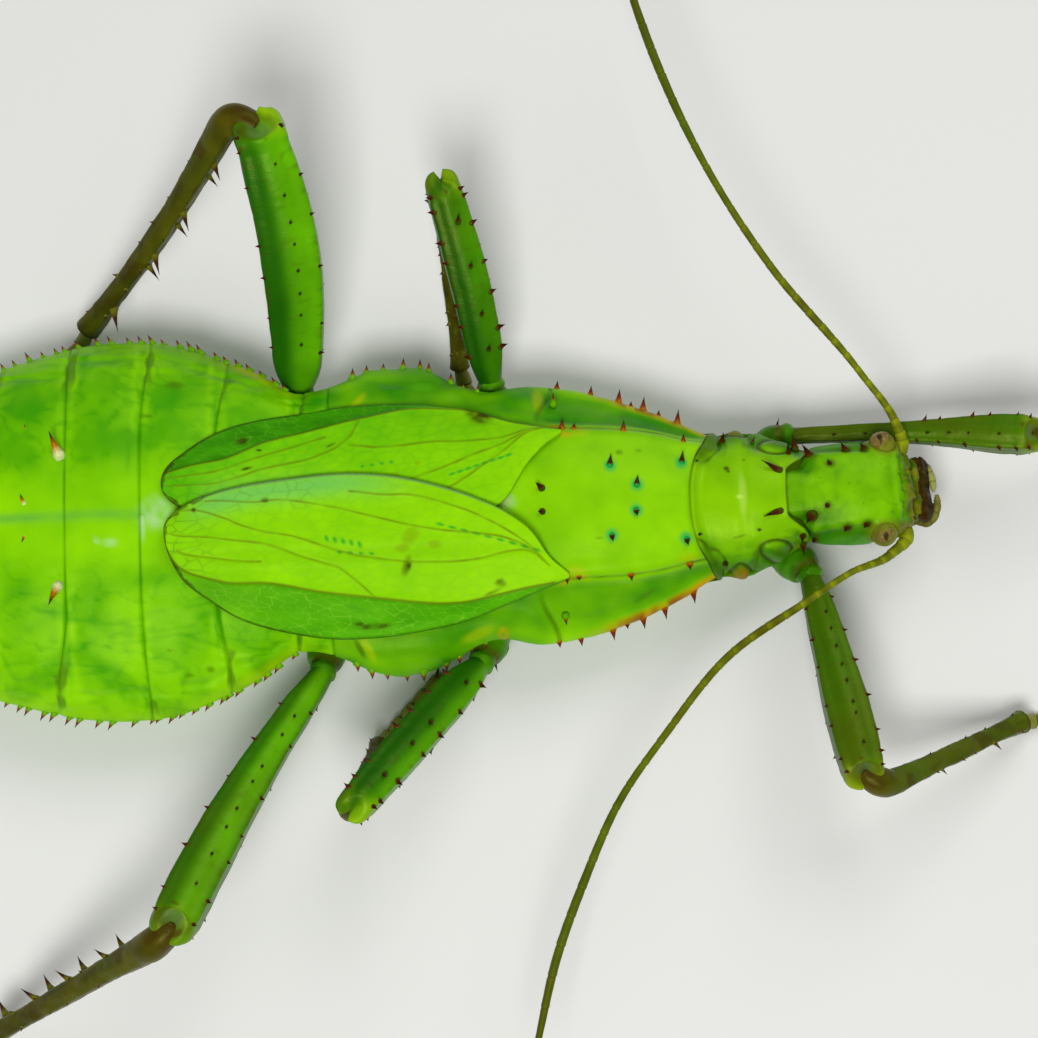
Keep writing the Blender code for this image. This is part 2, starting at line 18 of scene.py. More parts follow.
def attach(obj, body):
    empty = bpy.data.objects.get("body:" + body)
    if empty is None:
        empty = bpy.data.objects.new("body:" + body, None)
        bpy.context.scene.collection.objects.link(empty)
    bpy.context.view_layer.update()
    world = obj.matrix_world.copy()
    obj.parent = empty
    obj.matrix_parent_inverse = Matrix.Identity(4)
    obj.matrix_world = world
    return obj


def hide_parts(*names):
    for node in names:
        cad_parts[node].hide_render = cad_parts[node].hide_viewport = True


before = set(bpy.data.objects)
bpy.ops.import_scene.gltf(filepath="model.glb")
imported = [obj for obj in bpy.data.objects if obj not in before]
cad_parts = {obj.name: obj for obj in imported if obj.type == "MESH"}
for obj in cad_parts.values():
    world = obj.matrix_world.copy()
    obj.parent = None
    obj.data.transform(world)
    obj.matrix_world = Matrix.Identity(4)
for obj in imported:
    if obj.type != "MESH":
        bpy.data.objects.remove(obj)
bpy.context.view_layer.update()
MM = 0.001
print("frame:", len(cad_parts), "nodes")

# %% [markdown]
# ## Camera and lamps
#
# The insect is seen from nearly straight above, a little from its right side, by a long lens
# that is close enough for the near parts to look larger than the far ones.  One hard lamp would
# bury the legs in shadow, so a broad key lamp on the insect's right and a weaker one opposite
# model the low arch of the back.  The greens are very pure, so the plain Standard view is used,
# which doesn't wash them out.

# %% Camera and lamps
AIM = np.array([41.0, -1.8, 18.0])  # the point looked at, in millimetres
CAMERA_AZIMUTH, CAMERA_ELEVATION, CAMERA_DISTANCE = math.radians(-2), math.radians(80), 350.0


def placed(name, data, away, distance, right):
    """Links a camera or lamp at a distance from the point looked at, which it faces."""
    made = bpy.data.objects.new(name, data)
    bpy.context.scene.collection.objects.link(made)
    away, right = (np.array(way, float) / np.linalg.norm(way) for way in (away, right))
    made.location = (AIM + away * distance) * MM
    made.rotation_euler = Matrix(np.column_stack([right, np.cross(away, right), away])).to_euler()
    return made


def add_camera():
    """A 100 mm lens at the angle the insect is seen from."""
    data = bpy.data.cameras.new("camera")
    data.lens, data.sensor_width = 99.5, 36.0
    data.clip_start, data.clip_end = 0.01, 10.0
    level, right = math.cos(CAMERA_ELEVATION), (math.cos(CAMERA_AZIMUTH), math.sin(CAMERA_AZIMUTH), 0)
    away = (right[1] * level, -right[0] * level, math.sin(CAMERA_ELEVATION))
    bpy.context.scene.camera = placed("camera", data, away, CAMERA_DISTANCE, right)


def add_lamp(name, offset, size, power):
    """A square area lamp at an offset from the point looked at."""
    data = bpy.data.lights.new(name, "AREA")
    data.size, data.energy = size * MM, power
    placed(name, data, offset, np.linalg.norm(offset), np.cross((0.0, 1.0, 0.01), offset))


add_camera()
add_lamp("key_lamp", (-60, -330, 600), 240, 3.2)
add_lamp("fill_lamp", (200, 380, 480), 420, 1.5)
bpy.context.scene.view_settings.view_transform = "Standard"
print("camera and lamps are set")

# %% [markdown]
# ## Colours and material nodes
#
# Colours are written as the hex values a paint program shows.  Blender's shaders work on light,
# not on screen values, so one function turns each to linear light.  Nodes are added by one small
# function that sets a node's settings and links its inputs in the same breath.

# %% Colour and node helpers
def tint(code, alpha=1.0):
    """Linear colour of an sRGB hex code: the standard screen curve, undone."""
    screen = np.array([int(code[i : i + 2], 16) for i in (1, 3, 5)]) / 255
    linear = np.where(screen <= 0.04045, screen / 12.92, ((screen + 0.055) / 1.055) ** 2.4)
    return (*linear.tolist(), alpha)


def add(tree, kind, inputs=(), out=0, **settings):
    """Adds a node with its settings and gives its output socket `out`.  The inputs map a socket to
    a value, or to another node's output socket, which is linked to it."""
    node = tree.nodes.new(kind)
    for name, value in settings.items():
        setattr(node, name, value)
    for socket, value in dict(inputs).items():
        if isinstance(value, bpy.types.NodeSocket):
            tree.links.new(value, node.inputs[socket])
        else:
            node.inputs[socket].default_value = value
    return node.outputs[out]


def open_material(name, **constants):
    """A new material, its node tree and its shader, with constants set on the shader's own sockets."""
    made = bpy.data.materials.new(name)
    made.use_nodes = True
    shader = made.node_tree.nodes["Principled BSDF"]
    for socket, value in constants.items():
        shader.inputs[socket.replace("_", " ")].default_value = value
    return made, made.node_tree, shader


def speckle(tree, size_mm, low, high, detail=2.0):
    """Share of soft random patches about size_mm across: noise between two levels, stretched to 0..1."""
    where = add(tree, "ShaderNodeTexCoord", out="Object")
    noise = add(tree, "ShaderNodeTexNoise", {"Vector": where, "Scale": 1 / (size_mm * MM), "Detail": detail}, "Fac")
    return add(tree, "ShaderNodeMapRange", {0: noise, 1: low, 2: high})


def cuticle(name, dark, bright, layers=(), roughness=0.42, grain_mm=0.35, grain=0.12, mottle_mm=6.0, gloss=0.3):
    """Insect skin: a base from dark to bright by the mark `tone` and soft mottling, with coloured
    layers over it, each laid on by its own mark, and a fine shagreen bump.  On many pieces the
    tone and some layers also carry painted light and shade."""
    made, tree, shader = open_material(
        name, Roughness=roughness, Specular_IOR_Level=gloss, Specular_Tint=tint("#cfe070"), IOR=1.45)
    tone = add(tree, "ShaderNodeAttribute", out="Fac", attribute_name="tone")
    tone = add(tree, "ShaderNodeMix", {0: 0.3, 2: tone, 3: speckle(tree, mottle_mm, 0.3, 0.7)}, data_type="FLOAT")
    colour = add(tree, "ShaderNodeMix", {0: tone, 6: tint(dark), 7: tint(bright)}, 2, data_type="RGBA")
    for layer, code, strength in layers:
        share = add(tree, "ShaderNodeAttribute", out="Fac", attribute_name=layer)
        share = add(tree, "ShaderNodeMath", {0: share, 1: strength}, operation="MULTIPLY", use_clamp=True)
        colour = add(tree, "ShaderNodeMix", {0: share, 6: colour, 7: tint(code)}, 2, data_type="RGBA")
    tree.links.new(colour, shader.inputs["Base Color"])
    rough = speckle(tree, grain_mm, 0.25, 0.75, 3.0)
    relief = add(tree, "ShaderNodeBump", {"Height": rough, "Strength": grain, "Distance": 0.15 * MM})
    tree.links.new(relief, shader.inputs["Normal"])
    return made


def thorn_horn(name, foot, middle, tip, split=(0.18, 0.5, 0.78)):
    """Horn that darkens towards the point: foot, middle and tip colours, blended at three shares."""
    made, tree, shader = open_material(
        name, Roughness=0.3, Specular_IOR_Level=0.3, Specular_Tint=tint("#e0b080"), IOR=1.5)
    along = add(tree, "ShaderNodeAttribute", out="Fac", attribute_name="along")
    low = add(tree, "ShaderNodeMapRange", {0: along, 1: split[0], 2: split[1]})
    high = add(tree, "ShaderNodeMapRange", {0: along, 1: split[1] * 0.9, 2: split[2]})
    streaks = add(tree, "ShaderNodeMath", {0: speckle(tree, 0.25, 0.35, 0.75), 1: 0.25}, operation="MULTIPLY")
    colour = tint(foot)
    for share, code in ((low, middle), (high, tip), (streaks, tip)):
        colour = add(tree, "ShaderNodeMix", {0: share, 6: colour, 7: tint(code)}, 2, data_type="RGBA")
    tree.links.new(colour, shader.inputs["Base Color"])
    return made


print("a mid leaf green in linear light:", [round(v, 3) for v in tint("#7fce01")[:3]])

# %% [markdown]
# ## Surfaces from numbers
#
# Every piece below is a grid of points: one direction runs along the body or limb, the other
# goes round it.  The helpers turn such a grid into a closed mesh in one go, with whole arrays,
# and store the marks that the materials read.  A smooth curve through a few named sizes gives
# the outlines, and a lattice of random numbers, blended smoothly, gives natural unevenness.

# %% Curves and noise
def smooth(pairs, at):
    """The smooth curve through (position, value) pairs: cubic pieces whose slope at each point
    is that of its neighbours, flat beyond the ends."""
    where, value = np.array(pairs, float).T
    slope = np.gradient(value, where)
    at = np.asarray(at, float)
    i = np.clip(np.searchsorted(where, at) - 1, 0, len(where) - 2)
    span = where[i + 1] - where[i]
    t = np.clip((at - where[i]) / span, 0, 1)
    start = (1 + 2 * t) * (1 - t) ** 2 * value[i] + t * (1 - t) ** 2 * span * slope[i]
    return start + t**2 * (3 - 2 * t) * value[i + 1] - t**2 * (1 - t) * span * slope[i + 1]


def ease(value, low=0.0, high=1.0):
    """0 below low, 1 above high, and an S curve between them."""
    t = np.clip((value - low) / (high - low), 0, 1)
    return t * t * (3 - 2 * t)


def bell(distance, width):
    """1 at no distance, falling off as a Gaussian of the given width."""
    return np.exp(-((distance / width) ** 2))


def most(*parts):
    """The largest of several arrays at each place."""
    return np.maximum.reduce(np.broadcast_arrays(*parts))


def hashed(*cells):
    """A repeatable random number from 0 to 1 for each lattice cell."""
    mixed = sum(cell * factor for cell, factor in zip(cells, (127.1, 311.7, 74.7)))
    return np.modf(np.abs(np.sin(mixed) * 43758.5453))[0]


def lattice_noise(x, y, seed=0):
    """Random values on whole-numbered points, blended between them with an S curve."""
    x, y = np.broadcast_arrays(np.asarray(x, float), np.asarray(y, float))
    left, low = np.floor(x), np.floor(y)
    across, up = ease(x - left), ease(y - low)
    bottom = hashed(left, low, seed) * (1 - across) + hashed(left + 1, low, seed) * across
    top = hashed(left, low + 1, seed) * (1 - across) + hashed(left + 1, low + 1, seed) * across
    return bottom * (1 - up) + top * up


def turns(cols):
    """The angles of `cols` points round a ring, as one row."""
    return np.linspace(0, 2 * math.pi, cols, endpoint=False)[None, :]


def unit(vector):
    """A direction of length 1."""
    return np.asarray(vector, float) / np.linalg.norm(vector)


# %% From grids to pieces
def make_mesh(name, points, quads, triangles, marks, material):
    """A mesh object from its points in millimetres, its faces and its marks.  Nothing reaches
    below the floor."""
    points[:, 2] = np.maximum(points[:, 2], 0)
    mesh = bpy.data.meshes.new(name)
    corners = np.concatenate([quads.ravel(), triangles.ravel()]).astype(np.int32)
    sizes = np.concatenate([np.full(len(quads), 4), np.full(len(triangles), 3)])
    mesh.vertices.add(len(points))
    mesh.vertices.foreach_set("co", (points * MM).astype(np.float32).ravel())
    mesh.loops.add(len(corners))
    mesh.loops.foreach_set("vertex_index", corners)
    mesh.polygons.add(len(sizes))
    mesh.polygons.foreach_set("loop_start", np.concatenate([[0], np.cumsum(sizes)[:-1]]).astype(np.int32))
    mesh.update(calc_edges=True)
    mesh.shade_smooth()
    for title, values in marks.items():
        stored = mesh.attributes.new(title, "FLOAT", "POINT")
        stored.data.foreach_set("value", np.clip(values, 0, 1).astype(np.float32).ravel())
    mesh.materials.append(material)
    made = bpy.data.objects.new(name, mesh)
    bpy.context.scene.collection.objects.link(made)
    return made


def tube_faces(points, rows, cols):
    """Quads along a tube and triangles that close its ends.  Every face is turned round when the
    closed surface encloses a negative volume."""
    index = np.arange(rows * cols).reshape(rows, cols)
    after = np.roll(index, -1, 1)
    quads = np.stack([index[:-1], after[:-1], after[1:], index[1:]], -1).reshape(-1, 4)
    tips = [np.full(cols, rows * cols), np.full(cols, rows * cols + 1)]
    triangles = np.concatenate([np.stack([after[0], index[0], tips[0]], -1), np.stack([index[-1], after[-1], tips[1]],
                                                                                      -1)])
    split = np.concatenate([quads[:, [0, 1, 2]], quads[:, [0, 2, 3]], triangles])
    a, b, c = (points[split[:, i]] for i in range(3))
    if np.einsum("ij,ij->", a, np.cross(b, c)) < 0:
        return quads[:, ::-1], triangles[:, ::-1]
    return quads, triangles


def skins(name, grids, material, replaced=()):
    """One piece from one or more closed tubes.  Each is (points, marks) with points as rows by
    columns by 3, round in the column direction, its two ends closed by a point in their middle."""
    parts, marks, first = ([], [], []), {}, 0
    titles = sorted({title for _, own in grids for title in own})
    for points, own in grids:
        rows, cols = points.shape[:2]
        points = np.concatenate([points.reshape(-1, 3), points[[0, -1]].mean(1)])
        quads, triangles = tube_faces(points, rows, cols)
        for part, values in zip(parts, (points, quads + first, triangles + first)):
            part.append(values)
        for title in titles:
            value = np.broadcast_to(own.get(title, 0.0), (rows, cols))
            marks.setdefault(title, []).append(np.concatenate([value.ravel(), value[[0, -1]].mean(1)]))
        first += len(points)
    marks = {title: np.concatenate(values) for title, values in marks.items()}
    made = make_mesh(name, *map(np.concatenate, parts), marks, material)
    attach(made, "root")
    if replaced:
        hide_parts(*replaced)


print("helpers are ready")

# %% [markdown]
# ## The floor
#
# The insect stands on a plain pale floor.  It is only a stage and isn't part of the
# model.

# %% Floor and room light
FLOOR_REACH = 1.5  # metres from the middle to each side


def add_floor():
    """A large pale sheet at the level of the feet."""
    mesh = bpy.data.meshes.new("floor")
    corners = [(x * FLOOR_REACH, y * FLOOR_REACH, 0) for x, y in ((-1, -1), (1, -1), (1, 1), (-1, 1))]
    mesh.from_pydata(corners, [], [(0, 1, 2, 3)])
    mesh.materials.append(open_material("matt_paper", Base_Color=tint("#e6e6e2"), Roughness=0.9)[0])
    made = bpy.data.objects.new("floor", mesh)
    bpy.context.scene.collection.objects.link(made)


add_floor()
room = bpy.data.worlds.new("soft_room")
room.use_nodes = True
room.node_tree.nodes["Background"].inputs[0].default_value = tint("#ffffff")
room.node_tree.nodes["Background"].inputs[1].default_value = 0.22
bpy.context.scene.world = room
print("floor and room light are set")

# %% [markdown]
# ## The sizes of the body
#
# These are the same few curves that the solids follow: half the width, the height of the sharp
# side keels, of the back and of the belly, each along the body from the tail to the neck.

# %% Body outline
HALF_WIDTH = (
    (-59, 4.6), (-54, 7.0), (-49, 9.6), (-42, 13.2), (-33, 17.4), (-24, 20.8), (-18, 22.6),
    (-12, 23.8), (-7, 24.0), (-1, 23.2), (5, 21.0), (9, 19.1), (13.5, 16.4), (18, 17.0),
    (22, 18.7), (26, 19.4), (30, 18.9), (34, 16.8), (38, 15.6), (43, 16.3), (48, 15.7),
    (54, 14.1), (58, 12.5), (61.5, 10.8), (65, 9.0), (70, 8.7), (73, 7.6), (76, 6.0),
)
KEEL_Z = (
    (-59, 10.6), (-42, 10.0), (-24, 9.8), (-5, 9.6), (5, 10.0), (13, 11.2), (18, 11.2),
    (26, 9.6), (32, 10.0), (38, 11.2), (44, 10.6), (50, 9.6), (58, 10.2), (64, 10.8), (76, 11.5),
)
TOP_Z = (
    (-59, 13.0), (-49, 14.5), (-42, 15.6), (-24, 17.5), (-8, 18.0), (5, 17.0), (14, 16.2),
    (26, 16.1), (40, 16.8), (50, 17.3), (60, 16.6), (64, 16.2), (70, 17.0), (76, 16.2),
)
BELLY_Z = (
    (-59, 8.2), (-49, 7.0), (-42, 5.6), (-33, 3.4), (-24, 1.4), (-14, -0.6), (-4, -1.2),
    (5, -0.9), (12, 1.2), (20, 2.8), (30, 3.2), (45, 4.2), (56, 5.2), (62, 6.4), (70, 7.0), (76, 8.0),
)
ARCH_POWER, ARCH_ROUND, BELLY_POWER = 2.4, 0.75, 2.4


def midline(x):
    """The body bends a little to its left from the back of the prothorax forwards."""
    return 0.75 * np.clip((np.asarray(x, float) - 60) / 15, 0, 1) ** 2


def arch(x, across):
    """Height of the back: keel height plus the rest times (1 - |across|^2.4)^0.75."""
    keel = smooth(KEEL_Z, x)
    return keel + (smooth(TOP_Z, x) - keel) * (1 - np.minimum(np.abs(across), 1) ** ARCH_POWER) ** ARCH_ROUND


def back_z(x, y):
    """Height of the back at a place on the trunk."""
    return arch(x, (y - midline(x)) / smooth(HALF_WIDTH, x))


def belly_z(x, across):
    """Height of the belly: keel height less the rest times (1 - |across|^2.4)."""
    keel = smooth(KEEL_Z, x)
    return keel - (keel - smooth(BELLY_Z, x)) * (1 - np.abs(across) ** BELLY_POWER)


print("the trunk is", 2 * max(half for _, half in HALF_WIDTH), "mm wide")

# %% [markdown]
# ## Skin relief
#
# A tube worked out from the outline curves is too even to pass for skin.  Each tube is pushed
# in and out along its own surface normals by a height in millimetres: creases, lips, folds and
# low swellings are all heights that add up.

# %% Relief helpers
def push(points, height):
    """Move each point of a closed tube outwards by a height, along the cross product of the
    directions to its neighbours along the tube and round it."""
    along = np.gradient(points, axis=0)
    around = np.roll(points, -1, 1) - np.roll(points, 1, 1)
    normal = np.cross(along, around)
    normal /= np.maximum(np.linalg.norm(normal, axis=-1, keepdims=True), 1e-9)
    outside = points - points.mean(1, keepdims=True)
    normal *= np.sign((normal * outside).sum())
    return points + normal * np.broadcast_to(height, points.shape[:2])[..., None]


def shrunk(points, scale):
    """Each ring of a tube, scaled about its own middle."""
    middle = points.mean(1, keepdims=True)
    return middle + (points - middle) * scale


def end_scales(first, last, rows, before, after):
    """Ring scales that close a tube: a few growing ones, ones, and a few shrinking ones."""
    ones = np.ones(rows - before - after)
    return np.concatenate([np.linspace(first, 0.985, before), ones, np.linspace(0.985, last, after)])[:, None, None]


def rows_near(start, stop, rows, lines, width=1.1, more=5.0):
    """Places from start to stop, up to `more` times closer together near the given lines: equal
    steps of a running sum of 1 + more * bell(distance, width)."""
    fine = np.linspace(start, stop, 6000)
    run = np.cumsum(1 + more * sum(bell(fine - line, width) for line in lines))
    return np.interp(np.linspace(run[0], run[-1], rows), run, fine)


def folds(x, y, length, width, seed):
    """Irregular folds from -1 to 1, `length` long and `width` wide: two layers of lattice noise,
    the second bending the first."""
    sway = 2.2 * lattice_noise(x / (2.5 * length), y / (2.5 * width), seed + 7)
    return 2 * lattice_noise(x / length + 0.4 * sway, y / width + sway, seed) - 1


def oval(x, y, at, size, turn=0.0):
    """Distance from the middle of an oval, 1 at its rim; half sizes `size`, turned in degrees."""
    c, s = math.cos(math.radians(turn)), math.sin(math.radians(turn))
    dx, dy = x - at[0], y - at[1]
    return np.hypot((dx * c + dy * s) / size[0], (-dx * s + dy * c) / size[1])


def spots(x, y, *ovals):
    """The strongest of several soft-edged ovals, each strength * exp(-distance^4).  They are given
    as strength, x, y, half length, half width and, where one is turned, its angle in degrees."""
    distances = ((strength, oval(x, y, place[:2], place[2:4], *place[4:])) for strength, *place in ovals)
    return most(*(strength * np.exp(-(distance**4)) for strength, distance in distances))


def ring_of(x, y, z):
    """Grid arrays of the three coordinates as one array of points."""
    return np.stack(np.broadcast_arrays(x, y, z), -1).astype(float)


print("a soft spot is", float(spots(0.0, 0.0, (1.0, 0, 0, 1, 1))), "at its middle")

# %% [markdown]
# ## The abdomen
#
# The broad leaf-shaped hind body is ten plates that overlap like roof tiles, each plate's hind
# rim lying a little over the next.  Thin skin joins them, and it shows as a dark hair-line that
# widens to an olive patch at each side; the hair-line is partly that skin's colour and partly
# painted shade in the groove.  One skin covers all ten solids, so no seam shows: the creases are
# pushed into it.  Its rows are crowded near the creases, where the shape changes fastest.  Both
# flanks of the arch are painted darker as shade, the left one more, and pale spots on its top
# are painted highlights.

# %% Abdomen shape
CREASES = (13.4, 3.9, -5.3, -14.5, -24.0, -33.0, -42.0, -49.0, -54.0)
CREASE_LEFT = (1.2, 1.3, 0.8, -0.2, 0.3, 0.4, 0.3, 0.2, 0.1)  # how far each runs forward at the left side
CREASE_RIGHT = (0.1, 1.1, 0.4, -1.9, -0.6, 0.2, 0.2, 0.2, 0.1)
ABDOMEN_FRONT, ABDOMEN_END, THORAX_EDGE = 19.0, -58.9, 17.8
TRUNK_ROWS, TRUNK_COLS = 392, 248


def trunk_points(x, cols):
    """Cross-sections of the trunk at the places x.  Two thirds of each go over the back."""
    x = np.asarray(x, float)[:, None]
    turn = np.linspace(0, 1, cols, endpoint=False)[None, :]
    angle = np.where(turn < 0.66, turn / 0.66, 1 + (turn - 0.66) / 0.34) * math.pi
    across = np.cos(angle) + 0 * x
    above = np.sin(angle) + 0 * x >= -1e-9
    z = np.where(above, arch(x, across), np.maximum(belly_z(x, across), 0))
    return ring_of(x, midline(x) + smooth(HALF_WIDTH, x) * across, z), across, above


def crease_distance(x, across, number):
    """How far ahead of a crease a place is.  The crease swings forward or back towards the sides."""
    swing = np.where(across > 0, CREASE_LEFT[number], CREASE_RIGHT[number])
    return x - CREASES[number] - swing * ease(np.abs(across), 0.45, 1.0)


def abdomen_relief(x, across, above, fold):
    """Heights of creases, lips, crowned plates, a channel inside the margin and folds, with the
    marks of the creases and of the thin skin at their sides."""
    wide = np.abs(across)
    height = 0.12 * fold(7.0, 6.0, 3) + 0.05 * fold(1.6, 1.4, 5)
    height -= 0.07 * ease(fold(1.3, 1.6, 9), 0.3, 0.9) * ease(wide, 0.1, 0.3)
    patch = ease(wide, 0.66, 0.80) * (1 - ease(wide, 0.93, 1.0)) * above
    ragged, line = 0.30 + 0.75 * fold(1.3, 1.6, 11), 0.65 + 0.35 * fold(1.0, 2.5, 13)
    crease, membrane = np.zeros_like(x), np.zeros_like(x)
    for number in range(len(CREASES)):
        ahead = crease_distance(x, across, number)
        height -= 0.20 * bell(ahead, 0.2) - 0.12 * np.where(ahead > 0, np.exp(-np.abs(ahead) / 1.1), 0)
        height -= 0.07 * np.where(ahead < 0, np.exp(-np.abs(ahead) / 1.6), 0)
        crease = most(crease, bell(ahead, 0.12) * line)
        membrane = most(membrane, patch * (1 - ease(np.abs(ahead - 0.25), ragged - 0.25, ragged + 0.2)))
    edges = np.array((ABDOMEN_FRONT, *CREASES, -59.0))[::-1]
    place = np.interp(x, edges, np.arange(len(edges))) % 1
    height += 0.30 * np.sin(math.pi * place) * (1 - ease(wide, 0.8, 1)) - 0.7 * ease(x, 17.5, 18.5)
    rim = ease(wide, 0.70, 0.82) * (1 - ease(wide, 0.95, 1.0)) * above
    height += rim * (0.12 * fold(5.0, 0.8, 17) + 0.09 * fold(1.1, 2.4, 19))
    channel = bell(wide - 0.88 - 0.02 * fold(4.0, 9.0, 21), 0.025) * ease(fold(3.5, 9.0, 25), -0.4, 0.5)
    # The dark crease lines are partly the joining skin's colour and partly painted shade in the grooves; the line along
    # the thorax edge is painted shade under that edge.
    return height - 0.22 * channel * above, most(crease, 0.9 * bell(x - THORAX_EDGE, 0.22) * above), membrane, place


def abdomen_skin():
    """The trunk's outline with its relief, closed at the tail, and the marks of its pattern and of
    painted light and shade.
    """
    points, across, above = trunk_points(rows_near(ABDOMEN_FRONT, ABDOMEN_END, TRUNK_ROWS, CREASES), TRUNK_COLS)
    x, y, wide = points[..., 0], points[..., 1], np.abs(across)
    fold = partial(folds, x, y)
    height, crease, membrane, place = abdomen_relief(x, across, above, fold)
    points = push(points, height)
    to_tail = np.clip((-58.3 - points[..., :1].mean(1, keepdims=True)) / 0.62, 0, 0.97)
    lines = ease(1 - np.abs(fold(3.2, 1.4, 29)), 0.80, 0.98) * ease(wide, 0.12, 0.4)
    crown = np.sin(math.pi * place)
    # Painted shade: both flanks of the arch darker, the left one more.
    tone = 1.06 - 0.60 * bell(across - 0.46, 0.22) - 0.40 * ease(across, 0.48, 0.72)
    tone -= 0.30 * bell(across + 0.55, 0.25)
    tone -= 0.55 * ease(0.5 + 0.5 * fold(4.5, 3.5, 23), 0.25, 0.95) * ease(wide, 0.12, 0.4) + 0.26 * lines
    tone -= 0.26 * ease(fold(1.3, 0.8, 27), 0.1, 0.8) * ease(wide, 0.15, 0.5)
    tone += 0.30 * bell(crown - 0.25, 0.16) * ease(wide, 0.3, 0.6) - 0.12 * bell(place - 0.5, 0.2)
    # Painted highlights: pale spots along the top of the arch.
    painted_highlights = spots(x, y, (1, -3.2, 0.6, 2.0, 1.9), (1, -5.0, -0.9, 0.45, 1.9), (1, -8.9, -3.0, 0.8, 0.5),
                  (1, -10.5, -2.7, 0.35, 0.4))
    return shrunk(points, np.sqrt(1 - to_tail**2)), {
        "tone": tone, "crease": crease, "membrane": membrane, "belly": 1.0 - above,
        "stripe": bell(y - 0.45, 0.62) * ease(-x, 3.0, 5.5) * (0.75 + 0.25 * fold(2.5, 0.4, 31)) * above,
        "pale": painted_highlights * (0.6 + 0.5 * fold(1.0, 0.7, 33)),
        "amber": ease(wide, 0.90, 0.99) * above * (0.12 + 0.5 * bell(x - 8.0, 3.2) * (across > 0) + 0.3 * bell(x - 9.0,
                                                                                                               4.0)),
        "fleck": 0.7 * spots(x, y, (1, 2.6, -18.3, 0.5, 0.4), (1, 0.0, -18.9, 0.5, 0.28), (1, -2.0, -16.0, 0.22, 0.2),
                             (1, -16.4, -18.6, 0.3, 0.2), (1, -1.1, 17.0, 1.3, 0.5), (1, -4.5, 12.9, 0.8, 0.3)),
    }


# %% Abdomen
# Its pale layer is painted highlights on the top of the arch, and its crease layer is partly painted shade.
LEAF_CUTICLE = cuticle(  # soft leathery cuticle, moulted and hardened green: even sheen, no wax bloom
    "living_green_cuticle", "#329801", "#8cd801",
    (("belly", "#5fae10", 0.6), ("stripe", "#5cae38", 0.8), ("pale", "#b0dc98", 0.8), ("amber", "#c0cc00", 0.8),
     ("membrane", "#4c7c08", 0.75), ("fleck", "#4a7002", 0.85), ("crease", "#348402", 0.85)),
)
PLATES = [f"abdomen_segment_{number}" for number in range(1, 11)]
skins("abdomen_skin", [abdomen_skin()], LEAF_CUTICLE, PLATES)
print("the abdomen's", len(PLATES), "plates are one skin with", len(CREASES), "creases")

# %% [markdown]
# ## The middle of the body
#
# Behind the neck plate the two larger thorax rings are fused.  A flat-topped saddle with a
# dark edge runs down the middle, and outside it the flanks fall in a hollow slope to the spiny
# side keel.  The keel is orange where it nears the neck plate.  The hollow flanks are painted
# darker as shade, the left one more.

# %% Shape of the middle of the body
SADDLE = ((38, 9.6), (45, 9.5), (48, 9.35), (54, 9.1), (58, 8.6), (62, 7.7), (66, 7.0))  # half width
SADDLE_SHIFT = 0.45  # its middle lies this far to the left
WART = (38.6, -15.0)  # a small round wart on the right flank
# Where the neck plate's hind and front rims lie, by how far out to the side: (|across|, x).
PLATE_BACK = ((0, 61.95), (0.17, 62.0), (0.4, 62.45), (0.55, 62.9), (0.75, 63.9), (0.95, 64.9), (1, 65.3))
PLATE_FRONT = ((0, 73.85), (0.3, 73.95), (0.38, 74.0), (0.5, 74.7), (0.62, 75.5), (0.78, 76.5), (0.92, 76.8), (1, 76.2))


def thorax_relief(x, y, across, above, fold):
    """Heights of the saddle's step, the hollow flanks, the keel and the joint between the rings."""
    wide = np.abs(across)
    outside = np.abs(y - midline(x) - SADDLE_SHIFT) - smooth(SADDLE, x)
    saddle = ease(x, 43.5, 46.5) * above
    flank = ease(outside, 0.0, 1.6) * (1 - ease(wide, 0.93, 1.0)) * above
    joint = bell(x - 43.6 - 2.0 * ease(wide, 0.7, 1), 0.30) * ease(wide, 0.62, 0.8) * above
    height = (0.30 * bell(outside + 0.9, 0.9) - 0.22 * bell(outside - 0.15, 0.28)) * saddle
    height += (0.35 * bell(wide - 0.95, 0.04) * above - 0.75 * flank) * ease(x, 42, 47) - 0.3 * joint
    height += 0.08 * fold(6.0, 5.0, 41) + 0.03 * fold(1.5, 1.5, 43)
    height += 0.10 * fold(2.6, 1.3, 47) * ease(wide, 0.62, 0.8) * above
    height += 0.25 * fold(3.5, 1.8, 53) * ease(wide, 0.7, 0.85) * (1 - ease(x, 40, 44)) * above
    height -= 0.9 * ease(x - smooth(PLATE_BACK, wide), 0.2, 1.2) - 0.25 * bell(np.hypot(x - WART[0], y - WART[1]), 0.6)
    return height, outside, saddle, flank, joint


